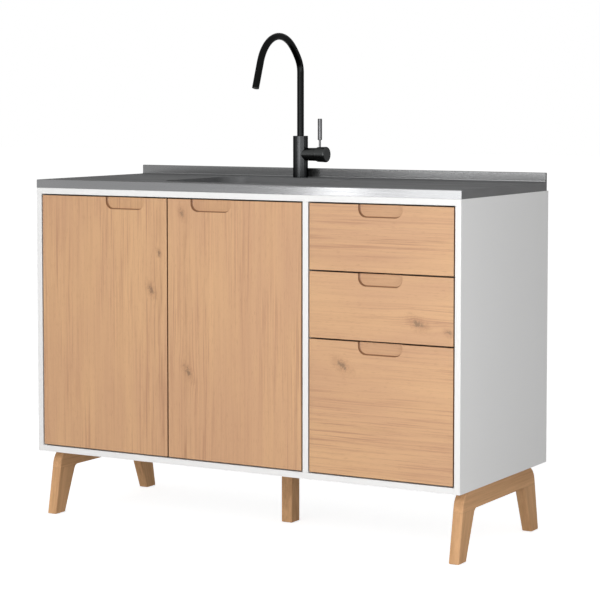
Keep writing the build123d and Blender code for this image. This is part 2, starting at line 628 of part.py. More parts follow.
def centre_leg():
    leg = slab(CENTRE_LEG_X - CENTRE_LEG_W / 2, CENTRE_LEG_X + CENTRE_LEG_W / 2,
               CENTRE_LEG_Y - CENTRE_LEG_D / 2, CENTRE_LEG_Y + CENTRE_LEG_D / 2, GLIDE_T, LEG_HEIGHT)
    leg = fillet(leg.edges().filter_by(Axis.Z), LEG_EASE)
    leg = chamfer(leg.edges().group_by(Axis.Z)[0], LEG_BEVEL)
    leg -= rod("Z", 0, GLIDE_T + NAIL_LENGTH, (CENTRE_LEG_X, CENTRE_LEG_Y), NAIL_R + SCREW_FIT)
    return leg - rod("Z", LEG_HEIGHT - SCREW_BITE, LEG_HEIGHT, (CENTRE_LEG_X, CENTRE_LEG_Y),
                     SCREW_R + SCREW_FIT)


def frame_middles():
    return [side * (WIDTH / 2 - FRAME_INSET - FRAME_T / 2) for side in (-1, 1)]


def screw_places():
    rails = [(x, step * FRAME_SCREW_PITCH) for x in frame_middles() for step in (-1, 0, 1)]
    return rails + [(CENTRE_LEG_X, CENTRE_LEG_Y)]


def glide_places():
    foot = FRONT + FOOT_SETBACK + FOOT_DEPTH / 2
    return [(x, y) for x in frame_middles() for y in (foot, -foot)] + [(CENTRE_LEG_X, CENTRE_LEG_Y)]


def foot_glides():
    return [rod("Z", 0, GLIDE_T, place, GLIDE_R) + rod("Z", GLIDE_T, GLIDE_T + NAIL_LENGTH, place, NAIL_R)
            for place in glide_places()]


def leg_screws():
    return [rod("Z", LEG_HEIGHT - SCREW_BITE, BAY_BOTTOM, place, SCREW_R)
            + rod("Z", BAY_BOTTOM, BAY_BOTTOM + SCREW_HEAD_T, place, SCREW_HEAD_R)
            for place in screw_places()]


# ---- doors and hinges ----------------------------------------------------------------------------
def front_board(x0, x1, z0, z1, grip_x):
    """Door or drawer front with a finger grip routed into its upper edge."""
    board = slab(x0, x1, FRONT, FRONT + BOARD, z0, z1)
    spill = GRIP_CORNER                      # cutter stands above the edge
    outline = Rectangle(GRIP_WIDTH, GRIP_HEIGHT + spill)
    lower = outline.vertices().group_by(Axis.Y)[0]
    cutter = extrude(fillet(lower, GRIP_CORNER), GRIP_DEPTH + spill)
    cutter = fillet(cutter.edges().group_by(Axis.Z)[0], GRIP_COVE)
    place = Plane(origin=(grip_x, FRONT + GRIP_DEPTH, z1 - (GRIP_HEIGHT - spill) / 2), x_dir=(1, 0, 0),
                  z_dir=(0, -1, 0))
    return board - place * cutter


def door_width():
    return (DOOR_BAY - 3 * FRONT_GAP) / 2


def hinge_places(side):
    """Pivot points of one door's hinges; side is -1 for the left door and 1 for the right."""
    wall = BAY_LEFT if side < 0 else DIVIDER_LEFT
    x = wall - side * (FRONT_GAP + HINGE_EDGE)
    return [(x, FRONT + HINGE_BACKSET, z)
            for z in (FRONTS_BOTTOM + HINGE_INSET_Z, FRONTS_TOP - HINGE_INSET_Z)]


def door(side):
    wall = BAY_LEFT if side < 0 else DIVIDER_LEFT
    edge = wall - side * FRONT_GAP
    closing = edge - side * door_width()
    board = front_board(min(edge, closing), max(edge, closing), FRONTS_BOTTOM, FRONTS_TOP,
                        closing + side * DOOR_GRIP_INSET)
    for x, y, z in hinge_places(side):
        back = FRONT + BOARD
        board -= rod("Y", back - CUP_DEPTH - CUP_FIT, back, (x - side * CUP_OFFSET, z), CUP_R + CUP_FIT)
    return board


def capsule(start, end, width):
    """Flat strip with round ends between two points."""
    dx, dy = end[0] - start[0], end[1] - start[1]
    length = (dx * dx + dy * dy) ** 0.5
    along = Plane(origin=(*start, 0), x_dir=(dx, dy, 0), z_dir=(0, 0, 1))
    strip = along * Pos(length / 2, 0) * Rectangle(length, width)
    return strip + Pos(*start) * Circle(width / 2) + Pos(*end) * Circle(width / 2)


def hinge_cup(side):
    """Cup let into the door, with a flange, screw wings and two ears for the pin.

    The pivot is at the origin, and -side is inboard.
    """
    x = -side * CUP_OFFSET
    back = BOARD - HINGE_BACKSET
    floor = back - CUP_DEPTH
    cup = rod("Y", floor, back, (x, 0), CUP_R) + rod("Y", back, back + CUP_FLANGE_T, (x, 0), CUP_FLANGE_R)
    cup += slab(x - KNUCKLE_R * 2, x + KNUCKLE_R * 2, back, back + CUP_FLANGE_T, -CUP_WING, CUP_WING)
    cup -= rod("Y", floor + CUP_WALL, back + CUP_FLANGE_T, (x, 0), CUP_R - CUP_WALL)
    for end in (-1, 1):
        near = end * (ARM_HALF + EAR_GAP)
        ear = slab(-KNUCKLE_R, KNUCKLE_R, floor, 0, near, near + end * EAR_T)
        ear += rod("Z", near, near + end * EAR_T, (0, 0), KNUCKLE_R)
        cup += ear
    reach = ARM_HALF + EAR_GAP + EAR_T
    return cup - rod("Z", -reach, reach, (0, 0), HINGE_PIN_R + RUN_FIT)


def hinge_arm(side):
    """Cranked arm from the pin, out of the cup, round the open door's edge and back to the wall plate."""
    wall = FRONT_GAP + HINGE_EDGE
    rest = wall - PLATE_T - PLATE_BLOCK - ARM_T / 2
    route = [(0, 0), (ARM_RUN, ARM_RUN), (ARM_RUN, ARM_BACK - ARM_T), (ARM_RUN - ARM_T, ARM_BACK),
             (ARM_T - rest, ARM_BACK), (-rest, ARM_BACK + ARM_T), (-rest, ARM_END)]
    points = [(-side * x, y) for x, y in route]
    strip = capsule(points[0], points[1], ARM_T)
    for start, end in zip(points[1:], points[2:]):
        strip += capsule(start, end, ARM_T)
    strip += Circle(KNUCKLE_R)
    arm = Pos(0, 0, -ARM_HALF) * extrude(strip, 2 * ARM_HALF)
    return arm - rod("Z", -ARM_HALF, ARM_HALF, (0, 0), HINGE_PIN_R + RUN_FIT)


def hinge_pin():
    reach = ARM_HALF + EAR_GAP + EAR_T
    return rod("Z", -reach, reach, (0, 0), HINGE_PIN_R)


def hinge_plate(side):
    """Wall plate with wings, and the raised block that the arm clips on."""
    wall = side * (FRONT_GAP + HINGE_EDGE)
    start, end = ARM_END - PLATE_LENGTH, ARM_END
    plate = slab(wall, wall - side * PLATE_T, start, end, -PLATE_WING, PLATE_WING)
    top = wall - side * (PLATE_T + PLATE_BLOCK)
    return plate + slab(wall, top, start, end, -ARM_HALF, ARM_HALF)


def hinges(make):
    """One hinge piece at all four pivots, from make(side)."""
    return [Pos(*place) * make(side) for side in (-1, 1) for place in hinge_places(side)]


# ---- drawers -------------------------------------------------------------------------------------
def drawer_fronts():
    """Lower and upper edge of the three fronts, top first: one, one and two modules high."""
    edges, top = {}, FRONTS_TOP
    for name, modules in (("top", 1), ("middle", 1), ("bottom", 2)):
        height = modules * MODULE + (modules - 1) * FRONT_GAP
        edges[name] = (top - height, top)
        top -= height + FRONT_GAP
    return edges


def drawer(name, low, high):
    left, right = DIVIDER_RIGHT + FRONT_GAP, BAY_RIGHT - FRONT_GAP
    box_left, box_right = DIVIDER_RIGHT + RUNNER_SPACE, BAY_RIGHT - RUNNER_SPACE
    box_front = FRONT + BOARD
    box_low, box_high = low + BOX_LIFT, high - BOX_DROP
    base_low, base_high = box_low + BASE_RISE, box_low + BASE_RISE + BASE_T
    inner_left, inner_right = box_left + BOX_T, box_right - BOX_T
    groove = slab(inner_left - GROOVE, inner_right + GROOVE, box_front - GROOVE, BOX_REAR,
                  base_low - GROOVE_FIT, base_high + GROOVE_FIT)
    face = front_board(left, right, low, high, (left + right) / 2)
    save(f"{name}_drawer_front", face - groove)
    save(f"{name}_drawer_left_side",
         slab(box_left, inner_left, box_front, BOX_REAR, box_low, box_high) - groove)
    save(f"{name}_drawer_right_side",
         slab(inner_right, box_right, box_front, BOX_REAR, box_low, box_high) - groove)
    save(f"{name}_drawer_back", slab(inner_left, inner_right, BOX_REAR - BOX_T, BOX_REAR,
                                     base_high + GROOVE_FIT, box_high))
    save(f"{name}_drawer_base", slab(inner_left - GROOVE + GROOVE_FIT, inner_right + GROOVE - GROOVE_FIT,
                                     box_front - GROOVE + GROOVE_FIT, BOX_REAR, base_low, base_high))
    save(f"{name}_drawer_runners", *[drawer_member(side, box_low + RUNNER_RISE) for side in (-1, 1)])


def runner(side, near, far, half, middle):
    """Channel rail on one side of the drawer bay; near and far are its web's face and its flanges' tips."""
    wall = DIVIDER_RIGHT if side < 0 else BAY_RIGHT
    start, end = FRONT + BOARD + RUNNER_START, BOX_REAR - RUNNER_SHORT
    web = near + (RUNNER_WALL if far > near else -RUNNER_WALL)
    rail = slab(wall - side * near, wall - side * far, start, end, middle - half, middle + half)
    return rail - slab(wall - side * web, wall - side * far, start, end,
                       middle - half + RUNNER_WALL, middle + half - RUNNER_WALL)


def drawer_member(side, middle):
    return runner(side, RUNNER_SPACE, RUNNER_TIP, RUNNER_HALF - RUNNER_WALL - RUNNER_FIT, middle)


def cabinet_runners():
    middles = [low + BOX_LIFT + RUNNER_RISE for low, high in drawer_fronts().values()]
    return [runner(side, 0, RUNNER_REACH, RUNNER_HALF, middle) for middle in middles for side in (-1, 1)]


def main():
    os.makedirs("parts", exist_ok=True)
    save("left_side_panel", side_panel(LEFT, BAY_LEFT))
    save("right_side_panel", side_panel(BAY_RIGHT, RIGHT))
    save("bottom_panel", bottom_panel())
    save("divider_panel", divider_panel())
    save("front_top_rail", front_top_rail())
    save("rear_top_rail", rear_top_rail())
    save("back_panel", back_panel())
    save("worktop_sheet", worktop_sheet())
    save("worktop_core", worktop_core())
    save("sink_bowl", sink_bowl())
    save("drain_body", drain_body())
    save("drain_nut", drain_nut())
    save("strainer_basket", strainer_basket())
    save("trap_body", trap_body())
    save("trap_cup", trap_cup())
    save("outlet_pipe", outlet_pipe())
    save("slip_nuts", *slip_nuts())
    save("tap_body", tap_body())
    save("tap_shank", tap_shank())
    save("tap_fixing_nut", *tap_fixing_nut())
    save("spout", spout())
    save("aerator", aerator())
    save("cartridge", cartridge())
    save("cartridge_nut", cartridge_nut())
    save("mixer_spindle", mixer_spindle())
    save("lever_stem", lever_stem())
    save("handle_cap", handle_cap())
    save("lever_pin", lever_pin())
    save("left_leg_frame", leg_frame(-1))
    save("right_leg_frame", leg_frame(1))
    save("centre_leg", centre_leg())
    save("foot_glides", *foot_glides())
    save("leg_screws", *leg_screws())
    for name, side in (("left", -1), ("right", 1)):
        save(f"{name}_door", door(side))
        save(f"{name}_door_hinge_cups", *[Pos(*place) * hinge_cup(side) for place in hinge_places(side)])
    save("hinge_pins", *hinges(lambda side: hinge_pin()))
    save("hinge_arms", *hinges(hinge_arm))
    save("hinge_plates", *hinges(hinge_plate))
    for name, (low, high) in drawer_fronts().items():
        drawer(name, low, high)
    save("cabinet_runners", *cabinet_runners())


main()
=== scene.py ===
"""Kitchen sink unit: white cabinet on splayed wooden legs, veneered fronts, steel worktop
with a bowl, and a black side-lever tap."""

import json
from math import cos, pi, radians, sin

import bmesh
import bpy
from bpy.props import FloatProperty, FloatVectorProperty, IntProperty, PointerProperty
from mathutils import Matrix, Vector


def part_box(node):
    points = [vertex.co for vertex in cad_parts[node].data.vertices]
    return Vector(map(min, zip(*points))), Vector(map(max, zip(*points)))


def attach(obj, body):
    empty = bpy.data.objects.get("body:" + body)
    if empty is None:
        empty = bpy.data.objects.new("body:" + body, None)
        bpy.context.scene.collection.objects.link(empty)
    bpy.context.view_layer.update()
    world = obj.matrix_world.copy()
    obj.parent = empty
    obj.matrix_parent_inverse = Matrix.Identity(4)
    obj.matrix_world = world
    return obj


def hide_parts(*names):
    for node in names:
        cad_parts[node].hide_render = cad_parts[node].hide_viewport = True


bl_info = {
    "name": "Kitchen sink unit",
    "version": (1, 0, 0),
    "blender": (4, 5, 0),
    "location": "View3D > Sidebar > Sink unit",
    "description": "Dresses the sink unit's frame with boards, veneer, steel, tap, hinges and runners",
    "category": "Add Mesh",
}

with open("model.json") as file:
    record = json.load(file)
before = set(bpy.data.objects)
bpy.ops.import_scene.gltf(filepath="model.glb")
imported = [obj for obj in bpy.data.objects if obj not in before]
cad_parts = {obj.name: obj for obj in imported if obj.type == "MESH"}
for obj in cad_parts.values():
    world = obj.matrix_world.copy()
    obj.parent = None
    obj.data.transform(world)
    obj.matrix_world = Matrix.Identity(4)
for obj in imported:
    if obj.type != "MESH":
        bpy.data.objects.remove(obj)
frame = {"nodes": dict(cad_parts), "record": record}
NODES = frame["nodes"]
BODY_OF = {node: body for body, members in frame["record"]["behaviour"]["bodies"].items() for node in members}
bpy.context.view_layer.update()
MM = 0.001
DRAWERS = ("top", "middle", "bottom")


def middle_of(node):
    low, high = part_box(node)
    return (low + high) / 2


TAP_AXIS = middle_of("tap_shank")
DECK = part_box("tap_body")[0].z
FRONT_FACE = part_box("left_door")[0].y


# ---- settings ----
def length(name, text, default):
    """A size in metres, given in millimetres."""
    return FloatProperty(name=name, description=text, default=default * MM, min=0.0, precision=4,
                         unit="LENGTH", subtype="DISTANCE")


def count(name, text, default):
    return IntProperty(name=name, description=text, default=default, min=3)


def colour(name, text, default):
    return FloatVectorProperty(name=name, description=text, default=default, size=3, min=0.0, max=1.0,
                               subtype="COLOR")


def number(name, text, default, **settings):
    return FloatProperty(name=name, description=text, default=default, **settings)


def angle(name, text, degrees):
    return number(name, text, radians(degrees), subtype="ANGLE", unit="ROTATION")


def watts(name, text, default):
    return number(name, text, default, min=0.0, subtype="POWER", unit="POWER")


def fraction(name, text, default):
    return number(name, text, default, min=0.0, max=1.0, subtype="FACTOR")


def point(name, text, default):
    return FloatVectorProperty(name=name, description=text, default=default, size=3,
                               subtype="TRANSLATION", unit="LENGTH")


class SinkUnitSizes(bpy.types.PropertyGroup):
    """Sizes of the details that the boards, steel and fittings are finished with"""

    board_ease: length("Board edge", "Rounding of the white boards' edges", 0.5)
    front_ease: length("Front edge", "Rounding of the door and drawer fronts' edges", 0.9)
    leg_ease: length("Leg edge", "Rounding of the corners left on the legs", 0.6)
    sheet_ease: length("Sheet edge", "Rounding of the steel sheet's cut edges", 0.35)
    fitting_ease: length("Fitting edge", "Rounding of the small metal fittings' edges", 0.3)
    trap_ease: length("Trap edge", "Rounding of the trap body's edges", 0.6)
    nut_ease: length("Slip nut edge", "Rounding of the slip nuts' edges", 0.8)
    pipe_ease: length("Pipe edge", "Rounding of the outlet pipe's ends", 0.4)
    stem_ease: length("Stem edge", "Rounding of the lever's stem and spindle", 0.1)
    spout_riser: length("Spout riser", "Height of the spout's straight part above the deck", 274.0)
    spout_radius: length("Spout radius", "Outside radius of the spout's tube", 9.0)
    spout_wall: length("Spout wall", "Wall of the spout's tube", 1.8)
    spout_collar: length("Spout collar", "Radius of the spout's turned end inside the tap's body", 10.95)
    spout_foot: length("Spout foot", "Bottom of the spout's turned end above the deck", 83.05)
    spout_lower_bend: length("Lower bend", "Radius of the spout's first bend", 58.0)
    spout_middle_bend: length("Middle bend", "Radius of the spout's second bend", 190.0)
    spout_upper_bend: length("Upper bend", "Radius of the spout's last bend", 101.0)
    spout_lower_turn: angle("Lower turn", "Turn of the spout's first bend", 36.0)
    spout_middle_turn: angle("Middle turn", "Turn of the spout's second bend", 14.0)
    spout_upper_turn: angle("Upper turn", "Turn of the spout's last bend", 110.0)
    spout_tip: length("Spout tip", "Straight run at the spout's outlet", 71.0)
    aerator_height: length("Aerator height", "Height of the aerator's insert", 12.0)
    aerator_hole: length("Aerator hole", "Radius of the aerator's holes", 0.9)
    aerator_holes: count("Aerator holes", "Holes in the aerator's ring", 8)
    basket_wall: length("Basket wall", "Wall of the strainer basket", 1.2)
    basket_floor: length("Basket floor", "Height of the strainer's floor above its stopper", 5.0)
    basket_hole: length("Basket hole", "Radius of the strainer's holes", 3.0)
    basket_holes: count("Basket holes", "Holes in the strainer's floor", 12)
    basket_knob: length("Basket knob", "Radius of the strainer's knob", 8.0)
    stopper: length("Stopper", "Radius of the strainer's stopper", 25.0)
    cup_ribs: count("Cup ribs", "Finger ribs round the trap's cup", 8)
    cup_wall: length("Cup wall", "Wall of the trap's cup", 2.5)
    screw_head: length("Screw head", "Radius of the leg screws' heads", 4.0)
    screw_shank: length("Screw shank", "Radius of the leg screws", 2.0)
    screw_pitch: length("Screw pitch", "Spacing of the screws along a leg frame", 140.0)
    glide_radius: length("Glide radius", "Radius of the glides under the feet", 9.0)
    glide_rise: length("Glide height", "Height of the glides' discs", 1.5)
    glide_nail: length("Glide nail", "Radius of the glides' nails", 1.5)


class SinkUnitColours(bpy.types.PropertyGroup):
    """Colours of the finishes"""

    veneer_light: colour("Veneer, light", "Pale wood between the veneer's lines", (0.690, 0.415, 0.218))
    veneer_mid: colour("Veneer, middle", "The veneer's main tone", (0.622, 0.362, 0.202))
    veneer_pink: colour("Veneer, pink", "Rosy streaks in the veneer", (0.500, 0.268, 0.150))
    veneer_dark: colour("Veneer, dark", "The veneer's darkest lines", (0.350, 0.175, 0.088))
    knot: colour("Knot", "Grey-brown heart of a knot", (0.235, 0.140, 0.080))
    leg_light: colour("Legs, light", "Pale wood of the legs", (0.755, 0.445, 0.232))
    leg_dark: colour("Legs, dark", "Dark lines in the legs' wood", (0.500, 0.268, 0.128))
    laminate: colour("Laminate", "White laminate on the carcase", (0.875, 0.875, 0.870))
    box_laminate: colour("Drawer laminate", "Laminate on the drawers' boxes", (0.790, 0.780, 0.755))
    core: colour("Core", "Raw chipboard under the steel", (0.560, 0.440, 0.290))
    # painted shade: a dark brown laid on the fronts' edges along the gaps and on the grips' walls, where
    # shade falls
    painted_edge_shade: colour("Painted edge shade", "Dark band on the fronts' edges and in the grips", (0.150, 0.060, 0.022))
    # the deck, apron, upstand and end colours are lit and shaded copies of the one sheet's steel: a brighter
    # glossy metal on the apron, a little darker on the upstand, and a dull dark grey without metal on the
    # deck and ends, which is painted shade
    deck: colour("Deck", "Dull brushed steel of the worktop", (0.155, 0.157, 0.159))
    apron: colour("Apron", "Brighter brushed steel of the folded front", (0.250, 0.252, 0.256))
    upstand: colour("Upstand", "Darker brushed steel of the upstand", (0.215, 0.217, 0.219))
    end: colour("Worktop ends", "Dull brushed steel of the folded ends", (0.185, 0.186, 0.188))
    # painted shade: the bowl's steel is kept dark and dull, close to the deck, to stand for the shade inside
    # the bowl; the drain and strainer share it
    bowl: colour("Bowl", "Satin steel of the bowl and drain", (0.175, 0.177, 0.180))
    # the spout, body, cap and lever are darker and lighter copies of one black finish, each set to how bright
    # that part reads: darker on the spout for painted shade, lighter on the body, cap and lever for painted
    # highlight
    tap: colour("Tap", "Black coating of the spout", (0.008, 0.0085, 0.0085))
    tap_body: colour("Tap body", "Dark brushed metal of the tap's body", (0.030, 0.031, 0.032))
    cap: colour("Cap", "Dark metal of the side barrel and the handle's cap", (0.048, 0.050, 0.050))
    lever: colour("Lever", "Brushed metal of the lever", (0.075, 0.076, 0.078))
    aerator: colour("Aerator", "Dark plastic of the aerator", (0.05, 0.05, 0.052))
    cartridge: colour("Cartridge", "Pale plastic of the cartridge", (0.62, 0.62, 0.60))
    waste: colour("Waste", "White plastic of the trap", (0.800, 0.800, 0.780))
    brass: colour("Brass", "Machined brass of the tap's hidden fittings", (0.780, 0.590, 0.300))
    zinc: colour("Zinc", "Zinc-plated steel of hinges, runners and screws", (0.600, 0.605, 0.610))
    glide: colour("Glide", "Dark plastic of the glides", (0.045, 0.042, 0.040))


class SinkUnitStage(bpy.types.PropertyGroup):
    """Camera, light and floor"""

    camera_place: point("Camera place", "Where the camera stands", (2.583910, -4.417331, 1.077692))
    camera_heading: angle("Camera heading", "Turn of the camera from straight at the back", 29.998437)
    camera_dip: angle("Camera dip", "How far the camera looks down", 3.688232)
    camera_lens: number("Camera lens", "Focal length on a 36 mm frame", 122.043480,
                        subtype="DISTANCE_CAMERA", unit="CAMERA")
    camera_shift: number("Camera shift", "Upright shift of the lens", -0.12)
    sky: fraction("Room light", "Even light from all round", 0.44)
    key_power: watts("Softbox power", "Power of the softbox at the front left", 63.0)
    key_place: point("Softbox place", "Where the softbox stands", (0.06, -3.55, 1.60))
    strip_left_power: watts("Left strip power", "Power of the strip light that lines the steel", 5.0)
    strip_left: point("Left strip", "Where the strip light that lines the steel stands", (-1.48, -3.45, 1.00))
    strip_right_power: watts("Right strip power", "Power of the strip light that lines the tap", 4.5)
    strip_right: point("Right strip", "Where the strip light that lines the tap stands", (0.40, -3.45, 1.10))
    fill_power: watts("Fill power", "Power of the soft light at the right", 3.7)
    fill_place: point("Fill place", "Where the soft light at the right stands", (1.35, -0.80, 0.55))
    card_power: watts("Card power", "Power of the card that only gloss sees", 50.0)
    card_place: point("Card place", "Where the card that only gloss sees stands", (1.27, -1.40, 0.50))
    floor_glow: fraction("Floor glow", "White of the floor before any light falls on it", 0.78)
    floor_tone: fraction("Floor tone", "How pale the floor is under the lamps", 0.58)


def sizes():
    return bpy.context.scene.sink_unit_sizes


def colours():
    return bpy.context.scene.sink_unit_colours


def stage_settings():
    return bpy.context.scene.sink_unit_stage


# ---- node trees ----
def calc(operation, *values, **settings):
    """A Math node on fields and numbers, in the fields' tree."""
    tree = next(value.tree for value in values if isinstance(value, Field))
    return add(tree, "ShaderNodeMath", dict(enumerate(values)), operation=operation, **settings)


class Field:
    """What comes out of a node; sums with it add Math nodes to its tree."""

    def __init__(self, socket):
        self.socket, self.tree = socket, socket.id_data

    def other(self, name):
        """Another output of the same node."""
        return Field(self.socket.node.outputs[name])

    def __add__(self, value):
        return calc("ADD", self, value)

    def __sub__(self, value):
        return calc("SUBTRACT", self, value)

    def __rsub__(self, value):
        return calc("SUBTRACT", value, self)

    def __mul__(self, value):
        return calc("MULTIPLY", self, value)

    def __truediv__(self, value):
        return calc("DIVIDE", self, value)

    def __rtruediv__(self, value):
        return calc("DIVIDE", value, self)

    def __abs__(self):
        return calc("ABSOLUTE", self)

    def step(self, low, high, to_low=0.0, to_high=1.0):
        """Smooth step from low..high to to_low..to_high."""
        inputs = {"Value": self, "From Min": low, "From Max": high, "To Min": to_low, "To Max": to_high}
        return add(self.tree, "ShaderNodeMapRange", inputs, interpolation_type="SMOOTHSTEP")

    def scaled(self, scale):
        """This vector times a scale for each axis."""
        return add(self.tree, "ShaderNodeVectorMath", {0: self, 1: scale}, operation="MULTIPLY")

    def noise(self, scale=1.0, detail=2.0, roughness=0.5):
        inputs = {"Vector": self, "Scale": scale, "Detail": detail, "Roughness": roughness}
        return add(self.tree, "ShaderNodeTexNoise", inputs)

    def parts(self):
        whole = add(self.tree, "ShaderNodeSeparateXYZ", {0: self})
        return [whole.other(axis) for axis in "XYZ"]

    def reordered(self, order):
        """This vector with its axes taken in another order, as "XZY"."""
        parts = self.parts()
        return combined(self.tree, *(parts["XYZ".index(axis)] for axis in order))


def fill(sockets, values):
    """Links what comes out of nodes to the sockets, by name or number, and sets the rest."""
    for key, value in values.items():
        socket = sockets[key]
        if isinstance(value, Field):
            value.tree.links.new(value.socket, socket)
        else:
            socket.default_value = (*value, 1.0) if socket.type == "RGBA" else value


def add(tree, kind, inputs=None, **settings):
    """Adds a node with its settings and inputs, and gives its first output."""
    node = tree.nodes.new(kind)
    for key, value in settings.items():
        setattr(node, key, value)
    fill(node.inputs, inputs or {})
    return Field(node.outputs[0]) if node.outputs else None


def combined(tree, x, y, z):
    return add(tree, "ShaderNodeCombineXYZ", {0: x, 1: y, 2: z})


def blend(tree, factor, first, second, mode="MIX"):
    """Mix of two colours."""
    node = tree.nodes.new("ShaderNodeMix")
    node.data_type, node.blend_type = "RGBA", mode
    fill(node.inputs, {0: factor, 6: first, 7: second})
    return Field(node.outputs[2])


def layered(tree, tone, *layers):
    """The tone with colours laid over it; a layer is (mask, strength, colour)."""
    for mask, strength, tint in layers:
        tone = blend(tree, mask * strength, tone, tint)
    return tone


def once(store, label, make, *settings):
    """What the store holds under that name, made the first time."""
    if label not in store:
        make(*settings).name = label
    return store[label]


SOCKET_OF = {float: "NodeSocketFloat", int: "NodeSocketInt", tuple: "NodeSocketVector"}


def new_group(name, kind, **inputs):
    """A node group and its named inputs; _ stands for a space, and a text names a socket's kind."""
    tree = bpy.data.node_groups.new(name, kind)
    for label, default in inputs.items():
        socket_type = "NodeSocket" + default if isinstance(default, str) else SOCKET_OF[type(default)]
        made = tree.interface.new_socket(label.replace("_", " "), in_out="INPUT", socket_type=socket_type)
        if not isinstance(default, str):
            made.default_value = default
    return tree, {socket.name: Field(socket) for socket in tree.nodes.new("NodeGroupInput").outputs}


def close_group(tree, kind="Float", **values):
    """Gives a node group its outputs."""
    for label in values:
        tree.interface.new_socket(label, in_out="OUTPUT", socket_type="NodeSocket" + kind)
    fill(tree.nodes.new("NodeGroupOutput").inputs, values)
    return tree


def use_effect(tree, name, **inputs):
    """Places a shared effect and gives its outputs by name."""
    node = tree.nodes.new("ShaderNodeGroup")
    node.node_tree = once(bpy.data.node_groups, "Sink unit " + name, EFFECTS[name])
    fill(node.inputs, {label.replace("_", " "): value for label, value in inputs.items()})
    return {socket.name: Field(socket) for socket in node.outputs}


# ---- shared effects ----
def new_effect(name, **inputs):
    return new_group(name, "ShaderNodeTree", Vector=(0.0, 0.0, 0.0), **inputs)


def make_grain_lines():
    """Wood grain: lines, broad streaks and pores that run along Y of the vector given."""
    tree, inside = new_effect("Grain lines", Spacing=0.006, Streak_width=0.016, Waviness=0.004, Bend=0.0)
    slow = inside["Vector"].scaled((3.0, 1.1, 3.0)).noise(detail=1.0)
    x, y, z = inside["Vector"].parts()
    across = x + (slow - 0.5) * inside["Waviness"] + inside["Bend"]

    def stretched(width, run):
        """Vector in which one unit is width across the grain and run times that along it."""
        inverse = 1.0 / width
        return combined(tree, across * inverse, y * (inverse / run), z * inverse)

    lines = stretched(inside["Spacing"], 70.0).noise(detail=3.0, roughness=0.6)
    plain_zones = stretched(0.075, 6.0).noise(detail=1.0).step(0.36, 0.60, 0.25, 1.0)
    streaks = stretched(inside["Streak width"], 26.0).noise(detail=3.0, roughness=0.7)
    tone = stretched(0.12, 4.0).noise()
    pores = stretched(0.0013, 14.0).noise(detail=1.0)
    return close_group(
        tree, Lines=lines.step(0.48, 0.68) * plain_zones, Pale=lines.step(0.48, 0.30) * plain_zones,
        Streaks=streaks.step(0.32, 0.70), Tone=tone.step(0.32, 0.66), Pores=pores.step(0.60, 0.74),
        Height=lines * 0.6 - pores * 0.4)


def make_knot():
    """Soft small knot in the grain, and how far it pushes the lines aside."""
    tree, inside = new_effect("Knot", Across=0.0, Along=0.0, Size=0.010, Lean=0.3)
    x, y, _ = inside["Vector"].parts()
    along, offset = y - inside["Along"], x - inside["Across"]
    across = (offset + along * inside["Lean"]) / inside["Size"]
    run = along / (inside["Size"] * 1.7)
    reach = calc("SQRT", across * across + run * run)
    ragged = reach + (inside["Vector"].noise(130.0, 4.0, 0.75) - 0.5) * 3.4
    return close_group(tree, Amount=ragged.step(0.85, 0.10), Halo=ragged.step(2.1, 0.5),
                       Bend=offset / (reach * reach + 0.6) * -0.6)


def make_heart_streak():
    """Long darker streak down a board, broken up along its length."""
    tree, inside = new_effect("Heart streak", Across=0.0, Width=0.02)
    vector = inside["Vector"]
    drift = vector.scaled((0.0, 4.0, 0.0)).noise(detail=1.0) - 0.5
    offset = vector.parts()[0] - inside["Across"] + drift * 0.022
    near = (abs(offset) / inside["Width"]).step(1.0, 0.1)
    return close_group(tree, Amount=near * vector.scaled((60.0, 9.0, 60.0)).noise().step(0.35, 0.68))


def make_brushed_steel():
    """Fine brushing along X of the vector given, with faint wider bands."""
    tree, inside = new_effect("Brushed steel", Roughness=0.35, Bands=0.12, Band_scale=120.0, Band_run=0.02)
    vector = inside["Vector"]
    fine = vector.scaled((9.0, 1500.0, 1500.0)).noise()
    stretched = vector.scaled(combined(tree, inside["Band run"], 1.0, 1.0))
    bands = stretched.noise(inside["Band scale"], 3.0, 0.6) - 0.5
    cloud = vector.noise(5.0, 3.0) - 0.5
    return close_group(tree, Shade=bands * inside["Bands"] + (fine - 0.5) * 0.10 + cloud * 0.10 + 1.0,
                       Roughness=inside["Roughness"] + bands * 0.16, Height=fine)


def make_even_surface():
    """Faint clouding and fine pebbling of laminate, coating or plastic."""
    tree, inside = new_effect("Even surface", Pebble=900.0, Clouding=0.03, Roughness=0.45)
    cloud = inside["Vector"].noise(4.0, 4.0, 0.55) - 0.5
    return close_group(tree, Shade=cloud * inside["Clouding"] + 1.0,
                       Roughness=inside["Roughness"] + cloud * 0.12,
                       Height=inside["Vector"].noise(inside["Pebble"]))


EFFECTS = {"grain": make_grain_lines, "knot": make_knot, "streak": make_heart_streak,
           "brushed": make_brushed_steel, "even": make_even_surface}


# ---- finishes ----
def new_material():
    """A material, its tree, its shader's inputs and the place that patterns are read at."""
    material = bpy.data.materials.new("Finish")
    material.use_nodes = True
    tree = material.node_tree
    place = add(tree, "ShaderNodeTexCoord").other("Object")
    return material, tree, tree.nodes["Principled BSDF"].inputs, place


def bump(tree, height, depth, strength=0.5):
    return add(tree, "ShaderNodeBump", {"Strength": strength, "Distance": depth, "Height": height})


def painted_shade_masks(place):
    """Two masks of painted shade: the sides of a front board and of its routed grip, and the grip's floor."""
    depth = place.parts()[1] - FRONT_FACE
    inside = depth.step(0.1 * MM, 0.9 * MM) * depth.step(14.6 * MM, 14.2 * MM)
    recess = abs(depth - 8.5 * MM).step(0.5 * MM, 0.2 * MM)
    return inside * (1.0 - recess), recess


